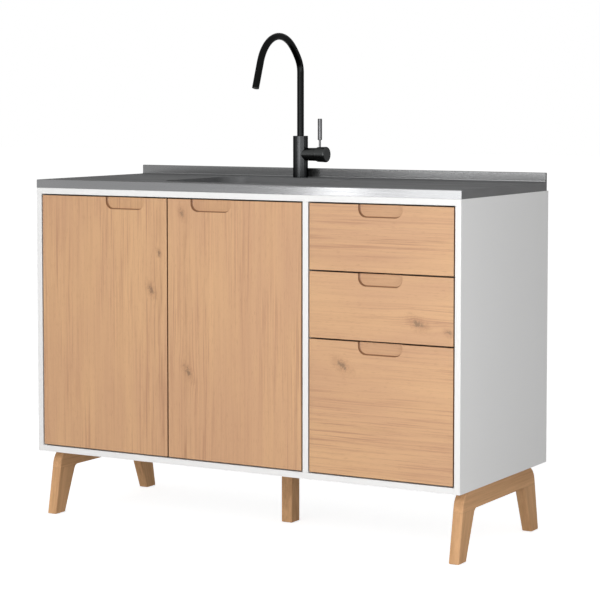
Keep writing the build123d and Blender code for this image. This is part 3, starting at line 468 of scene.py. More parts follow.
def veneer(order, knots, streaks):
    """Satin veneer; knots are (across, along, size, lean), streaks are (across, width), along the grain."""
    palette = colours()
    material, tree, shader, place = new_material()
    along_grain = place.reordered(order)
    dark, halo, bend, heart = 0.0, 0.0, 0.0, 0.0
    for across, along, size, lean in knots:
        spot = use_effect(tree, "knot", Vector=along_grain, Across=across, Along=along, Size=size, Lean=lean)
        dark, halo = calc("MAXIMUM", spot["Amount"], dark), calc("MAXIMUM", spot["Halo"], halo)
        bend = spot["Bend"] + bend
    for across, width in streaks:
        band = use_effect(tree, "streak", Vector=along_grain, Across=across, Width=width)
        heart = calc("ADD", band["Amount"], heart, use_clamp=True)
    grain = use_effect(tree, "grain", Vector=along_grain, Spacing=3.6 * MM, Bend=bend)
    # edge and recess carry painted shade: on the fronts' edges and the grips' walls, and on the grips' floors
    edge, recess = painted_shade_masks(place)
    tone = layered(
        tree, blend(tree, grain["Tone"], palette.veneer_light, palette.veneer_mid),
        (grain["Streaks"], 0.22, palette.veneer_pink), (grain["Lines"], 0.98, palette.veneer_pink),
        (grain["Pale"], 0.55, palette.veneer_light), (grain["Pores"], 0.26, palette.veneer_dark),
        (heart * (grain["Lines"] * 0.7 + 0.3), 0.66, palette.veneer_dark),
        (halo, 0.32, palette.veneer_dark), (dark, 0.78, palette.knot),
        # the last two layers are painted shade: a darker grip floor, and the dark band on the edges and grip
        # walls
        (recess, 0.16, palette.veneer_dark), (edge, 0.72, palette.painted_edge_shade))
    fill(shader, {"Base Color": tone, "Roughness": grain["Lines"] * 0.08 + 0.46, "Specular IOR Level": 0.32,
                  "Normal": bump(tree, grain["Height"], 0.12 * MM, 0.35)})
    return material


def leg_wood():
    """Oiled solid wood: level grain in the cross rail, upright below the joint."""
    joint, lean = 118 * MM, -0.29
    palette = colours()
    material, tree, shader, place = new_material()
    x, y, z = place.parts()
    upright = combined(tree, y - calc("SIGN", y) * z * lean, z, x)
    level = combined(tree, z, y, x)
    chosen = tree.nodes.new("ShaderNodeMix")
    chosen.data_type = "VECTOR"
    fill(chosen.inputs, {0: calc("GREATER_THAN", z, joint), 4: upright, 5: level})
    grain = use_effect(tree, "grain", Vector=Field(chosen.outputs[1]), Spacing=4.2 * MM, Streak_width=16 * MM)
    seam = abs(z - joint).step(0.9 * MM, 0.2 * MM)
    tone = layered(
        tree, blend(tree, grain["Streaks"], palette.leg_light, palette.leg_dark),
        (1.0, 0.45, palette.leg_light), (grain["Lines"], 0.55, palette.leg_dark),
        (grain["Pores"], 0.30, palette.leg_dark), (seam, 0.16, palette.knot))
    fill(shader, {"Base Color": tone, "Specular IOR Level": 0.06, "Roughness": grain["Lines"] * 0.10 + 0.58,
                  "Normal": bump(tree, grain["Height"], 0.15 * MM, 0.4)})
    return material


def coat(shader, tree, tint, surface, settings, depth, strength):
    """Colours a shader with a surface effect's shade, roughness and height."""
    shade = add(tree, "ShaderNodeCombineColor", {axis: surface["Shade"] for axis in range(3)})
    fill(shader, {"Base Color": blend(tree, 1.0, getattr(colours(), tint), shade, "MULTIPLY"),
                  "Roughness": surface["Roughness"], "Normal": bump(tree, surface["Height"], depth, strength),
                  **settings})


def even_finish(tint, roughness, pebble, clouding, gloss, depth=0.02 * MM, **settings):
    """Laminate, coating or plastic of one colour."""
    material, tree, shader, place = new_material()
    surface = use_effect(tree, "even", Vector=place, Pebble=pebble, Clouding=clouding, Roughness=roughness)
    coat(shader, tree, tint, surface, {"Specular IOR Level": gloss, **settings}, depth, 0.3)
    return material


def steel_finish(tint, order, roughness, bands, metal, gloss=0.5, band_scale=120.0, band_run=0.02):
    """Brushed metal; order puts the brushing's direction first."""
    material, tree, shader, place = new_material()
    surface = use_effect(tree, "brushed", Vector=place.reordered(order), Roughness=roughness,
                         Bands=bands, Band_scale=band_scale, Band_run=band_run)
    coat(shader, tree, tint, surface, {"Metallic": metal, "Specular IOR Level": gloss}, 0.02 * MM, 0.25)
    return material


def black_metal(tint, roughness, rim):
    """Dark coated metal, with dull rims."""
    return even_finish(tint, roughness, 1400.0, 0.30, 0.5, 0.03 * MM,
                       **{"Metallic": 1.0, "Specular Tint": (rim, rim, rim)})


def chipboard():
    """Raw pressed chips."""
    core = colours().core
    material, tree, shader, place = new_material()
    chips = add(tree, "ShaderNodeTexVoronoi", {"Vector": place.scaled((1.0, 1.0, 2.5)), "Scale": 260.0})
    tone = add(tree, "ShaderNodeSeparateColor", {0: chips.other("Color")})
    fill(shader, {"Base Color": blend(tree, tone, core, [min(1.0, value * 1.35) for value in core]),
                  "Roughness": 0.85, "Normal": bump(tree, tone, 0.2 * MM)})
    return material


FINISHES = {
    "door veneer": (veneer, "XZY", [(-0.2488, 0.6018, 0.010, 0.35), (-0.1390, 0.4020, 0.011, 0.45),
                                    (-0.1567, 0.7919, 0.008, 0.2), (-0.2249, 0.6927, 0.006, 0.2)],
                    [(-0.2310, 0.016), (-0.1449, 0.018), (-0.2159, 0.006)]),
    "drawer veneer": (veneer, "ZXY", [(0.5562, 0.4920, 0.012, 0.3), (0.4478, 0.2913, 0.012, 0.4),
                                      (0.5399, 0.5716, 0.007, 0.2)], [(0.7451, 0.008), (0.3020, 0.008)]),
    "leg wood": (leg_wood,),
    "chipboard": (chipboard,),
    "white laminate": (even_finish, "laminate", 0.42, 700.0, 0.02, 0.35),
    "drawer laminate": (even_finish, "box_laminate", 0.5, 700.0, 0.03, 0.3),
    "waste plastic": (even_finish, "waste", 0.35, 500.0, 0.03, 0.45),
    "pale plastic": (even_finish, "cartridge", 0.4, 600.0, 0.03, 0.4),
    "aerator plastic": (even_finish, "aerator", 0.45, 600.0, 0.03, 0.4),
    "glide plastic": (even_finish, "glide", 0.55, 600.0, 0.05, 0.3),
    # lit and shaded copies of one steel: the deck and ends carry painted shade, the apron and upstand are the
    # brighter, glossier copies
    "deck steel": (steel_finish, "deck", "XYZ", 0.58, 1.1, 0.0, 0.01, 14.0, 0.25),
    "apron steel": (steel_finish, "apron", "XYZ", 0.15, 0.16, 1.0),
    "upstand steel": (steel_finish, "upstand", "XYZ", 0.20, 0.30, 0.85, 0.1),
    "end steel": (steel_finish, "end", "YXZ", 0.50, 0.60, 0.0, 0.05, 14.0, 0.25),
    # dark, nearly matt steel: painted shade inside the bowl
    "bowl steel": (steel_finish, "bowl", "XYZ", 0.45, 0.40, 0.20, 0.02),
    "brass": (steel_finish, "brass", "ZXY", 0.28, 0.12, 1.0),
    "zinc": (steel_finish, "zinc", "YXZ", 0.34, 0.14, 1.0),
    # copies of one black finish: painted shade on the spout, painted highlight on the body, cap and lever
    "black coating": (black_metal, "tap", 0.24, 0.60),
    "dark metal": (black_metal, "tap_body", 0.20, 0.0),
    "cap metal": (black_metal, "cap", 0.30, 0.45),
    "lever metal": (black_metal, "lever", 0.20, 0.0),
}


def finish(name):
    return once(bpy.data.materials, name.capitalize(), *FINISHES[name])


# ---- mesh work ----
def new_object(name, data):
    piece = bpy.data.objects.new(name, data)
    bpy.context.scene.collection.objects.link(piece)
    return piece


def from_bmesh(name, shell):
    mesh = bpy.data.meshes.new(name)
    shell.to_mesh(mesh)
    shell.free()
    return new_object(name, mesh)


def from_points(name, points, edges=(), faces=()):
    mesh = bpy.data.meshes.new(name)
    mesh.from_pydata(points, edges, faces)
    return new_object(name, mesh)


def plain(piece, name):
    """Puts the evaluated shape into a mesh of its own and drops what made it."""
    graph = bpy.context.evaluated_depsgraph_get()
    graph.update()
    mesh = bpy.data.meshes.new_from_object(piece.evaluated_get(graph), preserve_all_data_layers=True,
                                           depsgraph=graph)
    bpy.data.objects.remove(piece)
    return new_object(name, mesh)


def smooth(piece, sharp):
    """Smooth shading with the edges above an angle kept hard and flat faces kept flat."""
    piece.data.shade_smooth()
    piece.data.set_sharp_from_angle(angle=radians(sharp))
    piece.modifiers.new("Flat faces first", "WEIGHTED_NORMAL").keep_sharp = True
    return plain(piece, piece.name)


def shell_of(node):
    """The CAD node's mesh as one closed shell with its flat faces whole."""
    mesh = NODES[node].data.copy()
    if "custom_normal" in mesh.attributes:
        mesh.attributes.remove(mesh.attributes["custom_normal"])
    shell = bmesh.new()
    shell.from_mesh(mesh)
    bpy.data.meshes.remove(mesh)
    bmesh.ops.remove_doubles(shell, verts=shell.verts, dist=2e-6)
    bmesh.ops.dissolve_limit(shell, angle_limit=radians(0.2), verts=shell.verts, edges=shell.edges)
    return shell


def ease_edges(shell, width, steps=2, above=35.0):
    """Rounds the outer corners sharper than an angle."""
    sharp = [edge for edge in shell.edges
             if len(edge.link_faces) == 2 and edge.is_convex and edge.calc_face_angle(0.0) > radians(above)]
    if sharp:
        bmesh.ops.bevel(shell, geom=sharp, offset=width, segments=steps, profile=0.5, affect="EDGES",
                        clamp_overlap=True)


def hand_over(piece, node, *materials, sharp=28.0, pick=None):
    """Stands the smoothed piece for its CAD node; pick numbers the material of each face."""
    piece = smooth(piece, sharp)
    piece.data.materials.clear()
    for material in materials:
        piece.data.materials.append(finish(material))
    if pick:
        for face in piece.data.polygons:
            face.material_index = pick(face)
    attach(piece, BODY_OF[node])
    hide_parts(node)


def dress(nodes, material, width=0.0, sharp=28.0, steps=2):
    """Finished copies of CAD nodes, with their edges rounded."""
    for node in nodes:
        shell = shell_of(node)
        if width > 0:
            ease_edges(shell, width, steps)
        hand_over(from_bmesh("eased_" + node, shell), node, material, sharp=sharp)


def corner_eased(points, width, steps=3):
    """Outline with its corners rounded; a point is (radius, height) or (radius, height, width)."""
    done = []
    for index, corner in enumerate(points):
        ease = corner[2] if len(corner) > 2 else width
        here = Vector(corner[:2])
        if ease <= 0 or index in (0, len(points) - 1):
            done.append(here)
            continue
        back, ahead = Vector(points[index - 1][:2]) - here, Vector(points[index + 1][:2]) - here
        reach = min(ease, back.length / 2.5, ahead.length / 2.5)
        start, end = here + back.normalized() * reach, here + ahead.normalized() * reach
        for step in range(steps + 1):
            share = step / steps
            done.append(start * (1 - share) ** 2 + here * 2 * share * (1 - share) + end * share ** 2)
    return done


def turned(name, outline, place=(0, 0, 0), ease=0.0, sides=64, hollow=False):
    """Turned solid from an outline of (radius, height); a hollow one's outline closes on itself."""
    centre = Matrix.Translation(place)
    shell = bmesh.new()
    rings = []
    for radius, height in corner_eased(outline, ease):
        turns = [2 * pi * side / sides for side in range(sides if radius > 1e-7 else 1)]
        rings.append([shell.verts.new(centre @ Vector((radius * cos(turn), radius * sin(turn), height)))
                      for turn in turns])
    for lower, upper in zip(rings, rings[1:] + rings[:1] if hollow else rings[1:]):
        for side in range(sides):
            ahead = (side + 1) % sides
            corners = [lower[side % len(lower)], lower[ahead % len(lower)],
                       upper[ahead % len(upper)], upper[side % len(upper)]]
            unique = list(dict.fromkeys(corners))
            if len(unique) > 2:
                shell.faces.new(unique)
    bmesh.ops.recalc_face_normals(shell, faces=shell.faces)
    return from_bmesh(name, shell)


# ---- geometry trees ----
def grown(name, source, tree, material, **inputs):
    """Plain mesh that a geometry tree makes from the source."""
    modifier = source.modifiers.new("Tree", "NODES")
    modifier.node_group = geometry_tree(tree)
    sockets = {item.name: item.identifier for item in modifier.node_group.interface.items_tree
               if item.item_type == "SOCKET" and item.in_out == "INPUT"}
    for label, value in {**inputs, "Material": finish(material)}.items():
        modifier[sockets[label.replace("_", " ")]] = value
    return plain(source, name)


def new_tree(name, **inputs):
    return new_group(name, "GeometryNodeTree", Geometry="Geometry", **inputs, Material="Material")


def end_tree(tree, inside, geometry):
    """The end that every tree here has: real geometry with its material."""
    real = add(tree, "GeometryNodeRealizeInstances", {"Geometry": geometry})
    done = add(tree, "GeometryNodeSetMaterial", {"Geometry": real, "Material": inside["Material"]})
    return close_group(tree, "Geometry", Geometry=done)


def combine_meshes(tree, operation, *meshes):
    """Exact cut of the second mesh from the first, or union of both."""
    node = tree.nodes.new("GeometryNodeMeshBoolean")
    node.operation, node.solver = operation, "EXACT"
    for mesh, socket in zip(meshes, ("Mesh 1" if operation == "DIFFERENCE" else "Mesh 2", "Mesh 2")):
        fill(node.inputs, {socket: mesh})
    return Field(node.outputs[0])


def set_in_ring(tree, number, radius, pattern, turn=None):
    """Real copies of a pattern at even spaces round a ring."""
    ring = add(tree, "GeometryNodeMeshCircle", {"Vertices": number, "Radius": radius})
    inputs = {"Points": ring, "Instance": pattern, **({"Rotation": turn} if turn else {})}
    copies = add(tree, "GeometryNodeInstanceOnPoints", inputs)
    return add(tree, "GeometryNodeRealizeInstances", {"Geometry": copies})


def make_bent_tube():
    """Hollow tube along a route; the route runs past both of the tube's ends."""
    tree, inside = new_tree("Bent tube", Radius=0.009, Wall=0.002, Overrun=0.002, Sides=48)
    route = add(tree, "GeometryNodeMeshToCurve", {"Mesh": inside["Geometry"]})
    share = inside["Overrun"] / add(tree, "GeometryNodeCurveLength", {"Curve": route})
    cut = add(tree, "GeometryNodeTrimCurve", {"Curve": route, "Start": share, "End": 1.0 - share},
              mode="FACTOR")

    def swept(curve, radius):
        ring = add(tree, "GeometryNodeCurvePrimitiveCircle",
                   {"Resolution": inside["Sides"], "Radius": radius}, mode="RADIUS")
        return add(tree, "GeometryNodeCurveToMesh",
                   {"Curve": curve, "Profile Curve": ring, "Fill Caps": True})

    bore = swept(route, inside["Radius"] - inside["Wall"])
    return end_tree(tree, inside, combine_meshes(tree, "DIFFERENCE", swept(cut, inside["Radius"]), bore))


def make_pierced():
    """Ring of round holes through a blank."""
    tree, inside = new_tree("Pierced blank", Holes=12, Ring_radius=0.03, Hole_radius=0.003, Depth=0.01,
                            Place=(0.0, 0.0, 0.0), Turn=(0.0, 0.0, 0.0))
    punch = add(tree, "GeometryNodeMeshCylinder", {"Vertices": 20, "Radius": inside["Hole radius"],
                                                   "Depth": inside["Depth"]})
    punches = set_in_ring(tree, inside["Holes"], inside["Ring radius"], punch)
    turn = add(tree, "FunctionNodeEulerToRotation", {0: inside["Turn"]})
    placed = add(tree, "GeometryNodeTransform", {"Geometry": punches, "Translation": inside["Place"],
                                                 "Rotation": turn})
    return end_tree(tree, inside, combine_meshes(tree, "DIFFERENCE", inside["Geometry"], placed))


def make_ribbed():
    """Upright finger ribs round a turned body."""
    tree, inside = new_tree("Ribbed body", Ribs=8, Ring_radius=0.03, Rib=(0.005, 0.005, 0.04),
                            Place=(0.0, 0.0, 0.0))
    rib = add(tree, "GeometryNodeMeshCube", {"Size": inside["Rib"]})
    place = add(tree, "GeometryNodeInputPosition")
    facing = add(tree, "FunctionNodeAlignRotationToVector", {"Vector": place}, axis="X", pivot_axis="Z")
    ribs = set_in_ring(tree, inside["Ribs"], inside["Ring radius"], rib, facing)
    placed = add(tree, "GeometryNodeTransform", {"Geometry": ribs, "Translation": inside["Place"]})
    return end_tree(tree, inside, combine_meshes(tree, "UNION", inside["Geometry"], placed))


def make_set_pieces():
    """The same small piece at every point."""
    tree, inside = new_tree("Set at points", Piece="Object")
    pattern = add(tree, "GeometryNodeObjectInfo", {"Object": inside["Piece"]}).other("Geometry")
    return end_tree(tree, inside, add(tree, "GeometryNodeInstanceOnPoints",
                                      {"Points": inside["Geometry"], "Instance": pattern}))


TREES = {"tube": make_bent_tube, "pierced": make_pierced, "ribbed": make_ribbed, "set": make_set_pieces}


def geometry_tree(name):
    return once(bpy.data.node_groups, "Sink unit tree " + name, TREES[name])


# ---- the unit's pieces ----
class BuildBoards(bpy.types.Operator):
    """Carcase boards in white laminate"""

    bl_idname = "sink_unit.boards"
    bl_label = "Carcase boards"

    def execute(self, context):
        dress(("left_side_panel", "right_side_panel", "bottom_panel", "divider_panel", "front_top_rail",
               "rear_top_rail", "back_panel"), "white laminate", sizes().board_ease)
        return {"FINISHED"}


class BuildWorktop(bpy.types.Operator):
    """Folded steel sheet with its stiffening board"""

    bl_idname = "sink_unit.worktop"
    bl_label = "Worktop"

    def execute(self, context):
        shell = shell_of("worktop_sheet")
        ease_edges(shell, sizes().sheet_ease)
        low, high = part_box("worktop_sheet")
        apron = low.y + 5 * MM

        # Sorts the sheet's faces into the lit and shaded copies of its steel: deck, apron, upstand and ends
        def part_of(face):
            middle, facing = face.center, face.normal
            if middle.y < apron and facing.y < -0.3:
                return 1
            if middle.z > high.z - MM or middle.z > DECK + MM and abs(facing.y) > 0.9:
                return 2
            return 3 if abs(facing.x) > 0.6 else 0

        hand_over(from_bmesh("pressed_worktop", shell), "worktop_sheet",
                  "deck steel", "apron steel", "upstand steel", "end steel", pick=part_of)
        dress(["worktop_core"], "chipboard")
        return {"FINISHED"}


class BuildBowl(bpy.types.Operator):
    """Drawn bowl, drain and its nut"""

    bl_idname = "sink_unit.bowl"
    bl_label = "Bowl and drain"

    def execute(self, context):
        dress(["sink_bowl"], "bowl steel", sharp=35.0)
        dress(["drain_body"], "bowl steel", sizes().fitting_ease, sharp=35.0)
        dress(["drain_nut"], "waste plastic", sizes().fitting_ease, sharp=35.0)
        return {"FINISHED"}


class BuildStrainer(bpy.types.Operator):
    """Strainer basket with its ring of holes, stopper and knob"""

    bl_idname = "sink_unit.strainer"
    bl_label = "Strainer basket"

    def execute(self, context):
        size = sizes()
        low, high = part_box("strainer_basket")
        x, y, _ = (low + high) / 2
        radius, top = (high.x - low.x) / 2, high.z - low.z
        wall, floor, stopper, knob = size.basket_wall, size.basket_floor, size.stopper, size.basket_knob
        knob_top, knob_side = top - wall, 5 * MM
        outline = [(0, 0), (stopper, 0), (stopper, floor), (radius - 2 * MM, floor, 3 * MM),
                   (radius, floor + 4 * MM, 2 * MM), (radius, top), (radius - wall, top),
                   (radius - wall, floor + wall, 2 * MM), (knob / 2, floor + wall),
                   (knob / 2, knob_top - knob_side), (knob, knob_top - knob_side, 1.5 * MM),
                   (knob, knob_top, 1.5 * MM), (0, knob_top)]
        blank = turned("strainer_blank", outline, (x, y, low.z), 0.35 * MM, 72)
        basket = grown("pierced_strainer", blank, "pierced", "bowl steel", Holes=size.basket_holes,
                       Ring_radius=(radius + stopper) / 2, Hole_radius=size.basket_hole, Depth=8 * MM,
                       Place=(x, y, low.z + floor))
        hand_over(basket, "strainer_basket", "bowl steel", sharp=32.0)
        return {"FINISHED"}


class BuildWaste(bpy.types.Operator):
    """Bottle trap, its ribbed cup, slip nuts and the pipe to the wall"""

    bl_idname = "sink_unit.waste"
    bl_label = "Waste trap"

    def execute(self, context):
        size = sizes()
        dress(["trap_body"], "waste plastic", size.trap_ease, sharp=35.0)
        low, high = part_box("trap_cup")
        x, y, _ = (low + high) / 2
        wall, ease, play = size.cup_wall, 2.0 * MM, 0.2 * MM
        outer, rise = (high.x - low.x) / 2 - wall, high.z - low.z
        bore, well = outer - wall, outer - 2 * wall - 0.1 * MM
        outline = [(0, 0), (outer, 0, ease), (outer, rise), (bore, rise), (bore, rise / 2), (well, rise / 2),
                   (well, wall, ease), (0, wall)]
        blank = turned("trap_cup_blank", outline, (x, y, low.z), 0.4 * MM, 96)
        cup = grown("ribbed_trap_cup", blank, "ribbed", "waste plastic", Ribs=size.cup_ribs,
                    Ring_radius=outer + play, Rib=(2 * (wall - play), 2 * wall, rise - 2.4 * MM),
                    Place=(x, y, low.z + rise / 2 + play))
        hand_over(cup, "trap_cup", "waste plastic", sharp=35.0)
        dress(["slip_nuts"], "waste plastic", size.nut_ease, sharp=35.0)
        dress(["outlet_pipe"], "waste plastic", size.pipe_ease, sharp=35.0)
        return {"FINISHED"}


class BuildFronts(bpy.types.Operator):
    """Veneered doors and drawer fronts with routed grips"""

    bl_idname = "sink_unit.fronts"
    bl_label = "Doors and drawer fronts"

    def execute(self, context):
        dress(("left_door", "right_door"), "door veneer", sizes().front_ease, steps=3)
        dress([f"{drawer}_drawer_front" for drawer in DRAWERS], "drawer veneer", sizes().front_ease, steps=3)
        return {"FINISHED"}


class BuildDrawerBoxes(bpy.types.Operator):
    """Sides, backs and bases of the drawers"""

    bl_idname = "sink_unit.drawer_boxes"
    bl_label = "Drawer boxes"

    def execute(self, context):
        parts = ("left_side", "right_side", "back", "base")
        dress([f"{drawer}_drawer_{part}" for drawer in DRAWERS for part in parts], "drawer laminate",
              sizes().board_ease)
        return {"FINISHED"}


class BuildRunners(bpy.types.Operator):
    """Drawer runners, both members"""

    bl_idname = "sink_unit.runners"
    bl_label = "Drawer runners"

    def execute(self, context):
        dress(["cabinet_runners"] + [f"{drawer}_drawer_runners" for drawer in DRAWERS], "zinc",
              sizes().fitting_ease)
        return {"FINISHED"}


class BuildHinges(bpy.types.Operator):
    """Concealed hinges: cups, arms, pins and wall plates"""

    bl_idname = "sink_unit.hinges"
    bl_label = "Hinges"

    def execute(self, context):
        dress(("left_door_hinge_cups", "right_door_hinge_cups", "hinge_arms", "hinge_pins", "hinge_plates"),
              "zinc", sizes().fitting_ease, sharp=35.0)
        return {"FINISHED"}


class BuildLegs(bpy.types.Operator):
    """Splayed leg frames and the straight centre leg"""

    bl_idname = "sink_unit.legs"
    bl_label = "Legs"

    def execute(self, context):
        dress(("left_leg_frame", "right_leg_frame", "centre_leg"), "leg wood", sizes().leg_ease, sharp=32.0)
        return {"FINISHED"}


def set_at(name, node, pattern, places, material):
    """One piece of the pattern at each place, for a CAD node."""
    points = from_points(name + "_places", [(x, y, 0) for x, y in places])
    made = grown(name, points, "set", material, Piece=pattern)
    bpy.data.objects.remove(pattern)
    hand_over(made, node, material, sharp=35.0)


class BuildFootings(bpy.types.Operator):
    """Glides under the feet, and the screws that hold the legs"""

    bl_idname = "sink_unit.footings"
    bl_label = "Glides and leg screws"

    def execute(self, context):
        size = sizes()
        low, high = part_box("foot_glides")
        disc, rise, nail = size.glide_radius, size.glide_rise, size.glide_nail
        frame_x, foot_y = high.x - disc, high.y - disc
        centre = [middle_of("centre_leg").xy]
        outline = [(0, 0), (disc, 0, 0.5 * MM), (disc, rise), (nail, rise), (nail, high.z - 2 * MM),
                   (0, high.z)]
        feet = [(x, y) for x in (-frame_x, frame_x) for y in (-foot_y, foot_y)]
        glide = turned("glide", outline, ease=0.1 * MM, sides=32)
        set_at("set_glides", "foot_glides", glide, feet + centre, "glide plastic")

        low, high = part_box("leg_screws")
        head, shank, bed = size.screw_head, size.screw_shank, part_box("bottom_panel")[1].z
        recess = high.z - 1.3 * MM
        outline = [(0, low.z), (shank, low.z + 3 * MM), (shank, bed), (head, bed),
                   (head, high.z - 0.7 * MM, 0.3 * MM), (head * 0.7, high.z, 0.4 * MM), (head * 0.38, high.z),
                   (head * 0.30, recess), (0, recess)]
        rows = [(x, row * size.screw_pitch) for x in (-frame_x, frame_x) for row in (-1, 0, 1)]
        screw = turned("screw", outline, ease=0.05 * MM, sides=24)
        set_at("set_leg_screws", "leg_screws", screw, rows + centre, "zinc")
        return {"FINISHED"}


class BuildTapBody(bpy.types.Operator):
    """Tap body with its side barrel"""

    bl_idname = "sink_unit.tap_body"
    bl_label = "Tap body"

    def execute(self, context):
        body = from_bmesh("turned_tap_body", shell_of("tap_body"))
        low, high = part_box("tap_body")
        waist = (high.y - low.y) / 2 + MM / 2
        hand_over(body, "tap_body", "dark metal", "cap metal", sharp=32.0,
                  pick=lambda face: int((face.center - TAP_AXIS).xy.length > waist))
        return {"FINISHED"}


def spout_route(overrun):
    """Middle line of the spout, running past both ends, its outlet's place and how far that leans."""
    size = sizes()

    def at(forward, up):
        return Vector((TAP_AXIS.x, TAP_AXIS.y - forward, DECK + up))

    forward, up, heading = 0.0, size.spout_riser, 0.0
    points = [at(0, size.spout_foot - overrun), at(forward, up)]
    for radius, turn in ((size.spout_lower_bend, size.spout_lower_turn),
                         (size.spout_middle_bend, size.spout_middle_turn),
                         (size.spout_upper_bend, size.spout_upper_turn)):
        steps = max(4, round(turn / radians(2.5)))
        start = heading
        for step in range(1, steps + 1):
            heading = start + turn * step / steps
            points.append(at(forward + radius * (cos(start) - cos(heading)),
                             up + radius * (sin(heading) - sin(start))))
        forward += radius * (cos(start) - cos(heading))
        up += radius * (sin(heading) - sin(start))
    outlet, last = [at(forward + run * sin(heading), up + run * cos(heading))
                    for run in (size.spout_tip, size.spout_tip + overrun)]
    return points + [last], outlet, heading


class BuildSpout(bpy.types.Operator):
    """Swivelling spout, bent from one tube, and its aerator"""

    bl_idname = "sink_unit.spout"
    bl_label = "Spout and aerator"

    def execute(self, context):
        size = sizes()
        overrun = 2 * MM
        points, outlet, heading = spout_route(overrun)
        route = from_points("spout_route", points, [(start, start + 1) for start in range(len(points) - 1)])
        tube = grown("bent_spout_tube", route, "tube", "black coating", Radius=size.spout_radius,
                     Wall=size.spout_wall, Overrun=overrun, Sides=48)
        inner, foot = size.spout_radius - 0.02 * MM, DECK + size.spout_foot
        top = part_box("tap_body")[1].z - 0.05 * MM
        collar = turned("spout_collar", [(inner, foot), (size.spout_collar, foot), (size.spout_collar, top),
                                         (inner, top)], (TAP_AXIS.x, TAP_AXIS.y, 0), 0.2 * MM, hollow=True)
        shell = bmesh.new()
        shell.from_mesh(tube.data)
        ease_edges(shell, 0.35 * MM, above=50.0)
        shell.from_mesh(collar.data)
        for piece in (tube, collar):
            bpy.data.objects.remove(piece)
        hand_over(from_bmesh("bent_spout", shell), "spout", "black coating", sharp=32.0)

        radius, height = size.spout_radius - size.spout_wall - 0.06 * MM, size.aerator_height
        outline = [(0, 0), (radius, 0, 0.4 * MM), (radius, height), (0, height)]
        blank = turned("aerator_blank", outline, sides=48)
        blank.data.transform(Matrix.Translation(outlet) @ Matrix.Rotation(pi + heading, 4, "X"))
        pierced = grown("pierced_aerator", blank, "pierced", "aerator plastic", Holes=size.aerator_holes,
                        Ring_radius=size.spout_radius / 2, Hole_radius=size.aerator_hole, Depth=8 * MM,
                        Place=outlet, Turn=(heading, 0.0, 0.0))
        hand_over(pierced, "aerator", "aerator plastic", sharp=32.0)
        return {"FINISHED"}


class BuildLever(bpy.types.Operator):
    """Handle cap, lever and the stem that carries them"""

    bl_idname = "sink_unit.lever"
    bl_label = "Lever"

    def execute(self, context):
        dress(["handle_cap"], "cap metal", sharp=32.0)
        dress(["lever_pin"], "lever metal", sharp=32.0)
        dress(("lever_stem", "mixer_spindle"), "brass", sizes().stem_ease, sharp=32.0)
        return {"FINISHED"}


class BuildTapFittings(bpy.types.Operator):
    """Shank, fixing nut, cartridge and cartridge nut"""

    bl_idname = "sink_unit.tap_fittings"
    bl_label = "Tap fittings"

    def execute(self, context):
        dress(("tap_shank", "tap_fixing_nut", "cartridge_nut"), "brass", sizes().fitting_ease, sharp=35.0)
        dress(["cartridge"], "pale plastic", sizes().fitting_ease, sharp=35.0)
        return {"FINISHED"}


# ---- the stage ----
def seen_rays(tree):
    """1 where the ray is the camera's, or is seen in a gloss or through glass."""
    camera = add(tree, "ShaderNodeLightPath").other("Is Camera Ray")
    seen = calc("MAXIMUM", camera, camera.other("Is Glossy Ray"))
    return calc("MAXIMUM", seen, camera.other("Is Transmission Ray"))


def floor_material():
    """Pale floor that reads white to the camera and still takes the unit's shadow."""
    settings = stage_settings()
    material = bpy.data.materials.new("Pale floor")
    material.use_nodes = True
    tree = material.node_tree
    tree.nodes.clear()
    matt = add(tree, "ShaderNodeBsdfDiffuse", {"Color": (settings.floor_tone,) * 3})
    glow = add(tree, "ShaderNodeEmission",
               {"Color": (1, 1, 1), "Strength": seen_rays(tree) * settings.floor_glow})
    add(tree, "ShaderNodeOutputMaterial", {"Surface": add(tree, "ShaderNodeAddShader", {0: matt, 1: glow})})
    return material


def room_light():
    """Even room light that the camera and metals see as white."""
    world = bpy.data.worlds.new("Room light")
    world.use_nodes = True
    tree = world.node_tree
    tree.nodes.clear()
    room, white = [add(tree, "ShaderNodeBackground", {"Color": (1, 1, 1), "Strength": strength})
                   for strength in (stage_settings().sky, 1.0)]
    add(tree, "ShaderNodeOutputWorld",
        {"Surface": add(tree, "ShaderNodeMixShader", {0: seen_rays(tree), 1: room, 2: white})})
    return world


def softbox(name, place, power, width, height):
    """Rectangular lamp that faces the unit and that the camera doesn't see."""
    lamp = bpy.data.lights.new(name, "AREA")
    lamp.shape, lamp.size, lamp.size_y, lamp.energy = "RECTANGLE", width, height, power
    made = new_object(name, lamp)
    made.location = place
    aim = Vector((0.0, 0.0, 0.55))
    made.rotation_euler = (Vector(place) - aim).to_track_quat("Z", "Y").to_euler()
    made.visible_camera = False
    return made


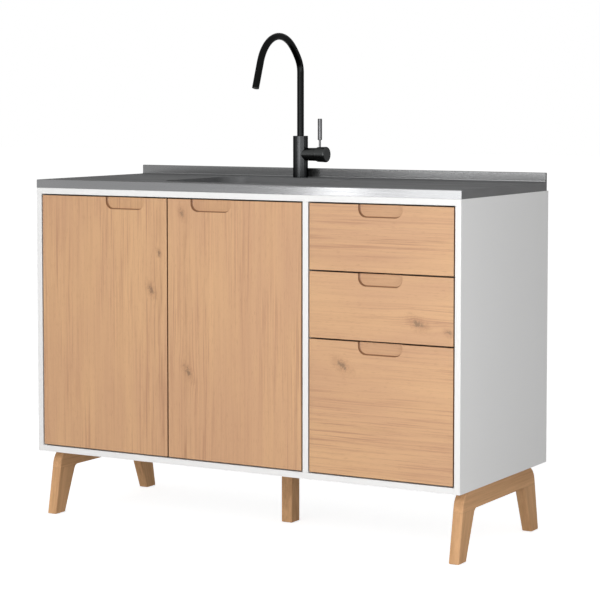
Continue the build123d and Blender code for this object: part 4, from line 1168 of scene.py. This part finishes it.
class BuildStage(bpy.types.Operator):
    """Camera, lamps, room light and pale floor"""

    bl_idname = "sink_unit.stage"
    bl_label = "Stage"

    def execute(self, context):
        settings, scene = stage_settings(), context.scene
        scene.view_settings.view_transform = "Standard"
        scene.world = room_light()

        lens = bpy.data.cameras.new("Camera")
        lens.lens, lens.sensor_width, lens.shift_y = settings.camera_lens, 36.0, settings.camera_shift
        lens.clip_end = 100.0
        scene.camera = new_object("Camera", lens)
        scene.camera.location = settings.camera_place
        scene.camera.rotation_euler = (radians(90) - settings.camera_dip, 0.0, settings.camera_heading)

        softbox("Softbox", settings.key_place, settings.key_power, width=3.0, height=2.6)
        softbox("Left strip", settings.strip_left, settings.strip_left_power, width=0.14, height=1.60)
        softbox("Right strip", settings.strip_right, settings.strip_right_power, width=0.14, height=1.60)
        matt_only = softbox("Fill", settings.fill_place, settings.fill_power, width=0.5, height=1.8)
        matt_only.visible_glossy = False
        gloss_only = softbox("Card", settings.card_place, settings.card_power, width=3.9, height=0.90)
        gloss_only.visible_diffuse = False

        reach = 30.0
        corners = [(-reach, -reach, 0), (reach, -reach, 0), (reach, reach, 0), (-reach, reach, 0)]
        floor = from_points("Floor", corners, faces=[(0, 1, 2, 3)])
        floor.data.materials.append(floor_material())
        return {"FINISHED"}


class SinkUnitPanel(bpy.types.Panel):
    """Lists the unit's pieces in the sidebar"""

    bl_idname = "VIEW3D_PT_sink_unit"
    bl_label = "Sink unit"
    bl_space_type = "VIEW_3D"
    bl_region_type = "UI"
    bl_category = "Sink unit"

    def draw(self, context):
        for step in STEPS:
            self.layout.operator(step.bl_idname)
        for group in (sizes(), colours(), stage_settings()):
            box = self.layout.box()
            for name in group.bl_rna.properties.keys():
                if name not in ("rna_type", "name"):
                    box.prop(group, name)


STEPS = (BuildBoards, BuildWorktop, BuildBowl, BuildStrainer, BuildWaste, BuildFronts, BuildDrawerBoxes,
         BuildRunners, BuildHinges, BuildLegs, BuildFootings, BuildTapBody, BuildSpout, BuildLever,
         BuildTapFittings, BuildStage)
GROUPS = {"sink_unit_sizes": SinkUnitSizes, "sink_unit_colours": SinkUnitColours,
          "sink_unit_stage": SinkUnitStage}
CLASSES = (*GROUPS.values(), *STEPS, SinkUnitPanel)


def register():
    for kind in CLASSES:
        bpy.utils.register_class(kind)
    for name, group in GROUPS.items():
        setattr(bpy.types.Scene, name, PointerProperty(type=group))


def unregister():
    for name in GROUPS:
        delattr(bpy.types.Scene, name)
    for kind in reversed(CLASSES):
        bpy.utils.unregister_class(kind)


def main():
    register()
    for step in STEPS:
        category, name = step.bl_idname.split(".")
        getattr(getattr(bpy.ops, category), name)()


if __name__ == "__main__":
    main()
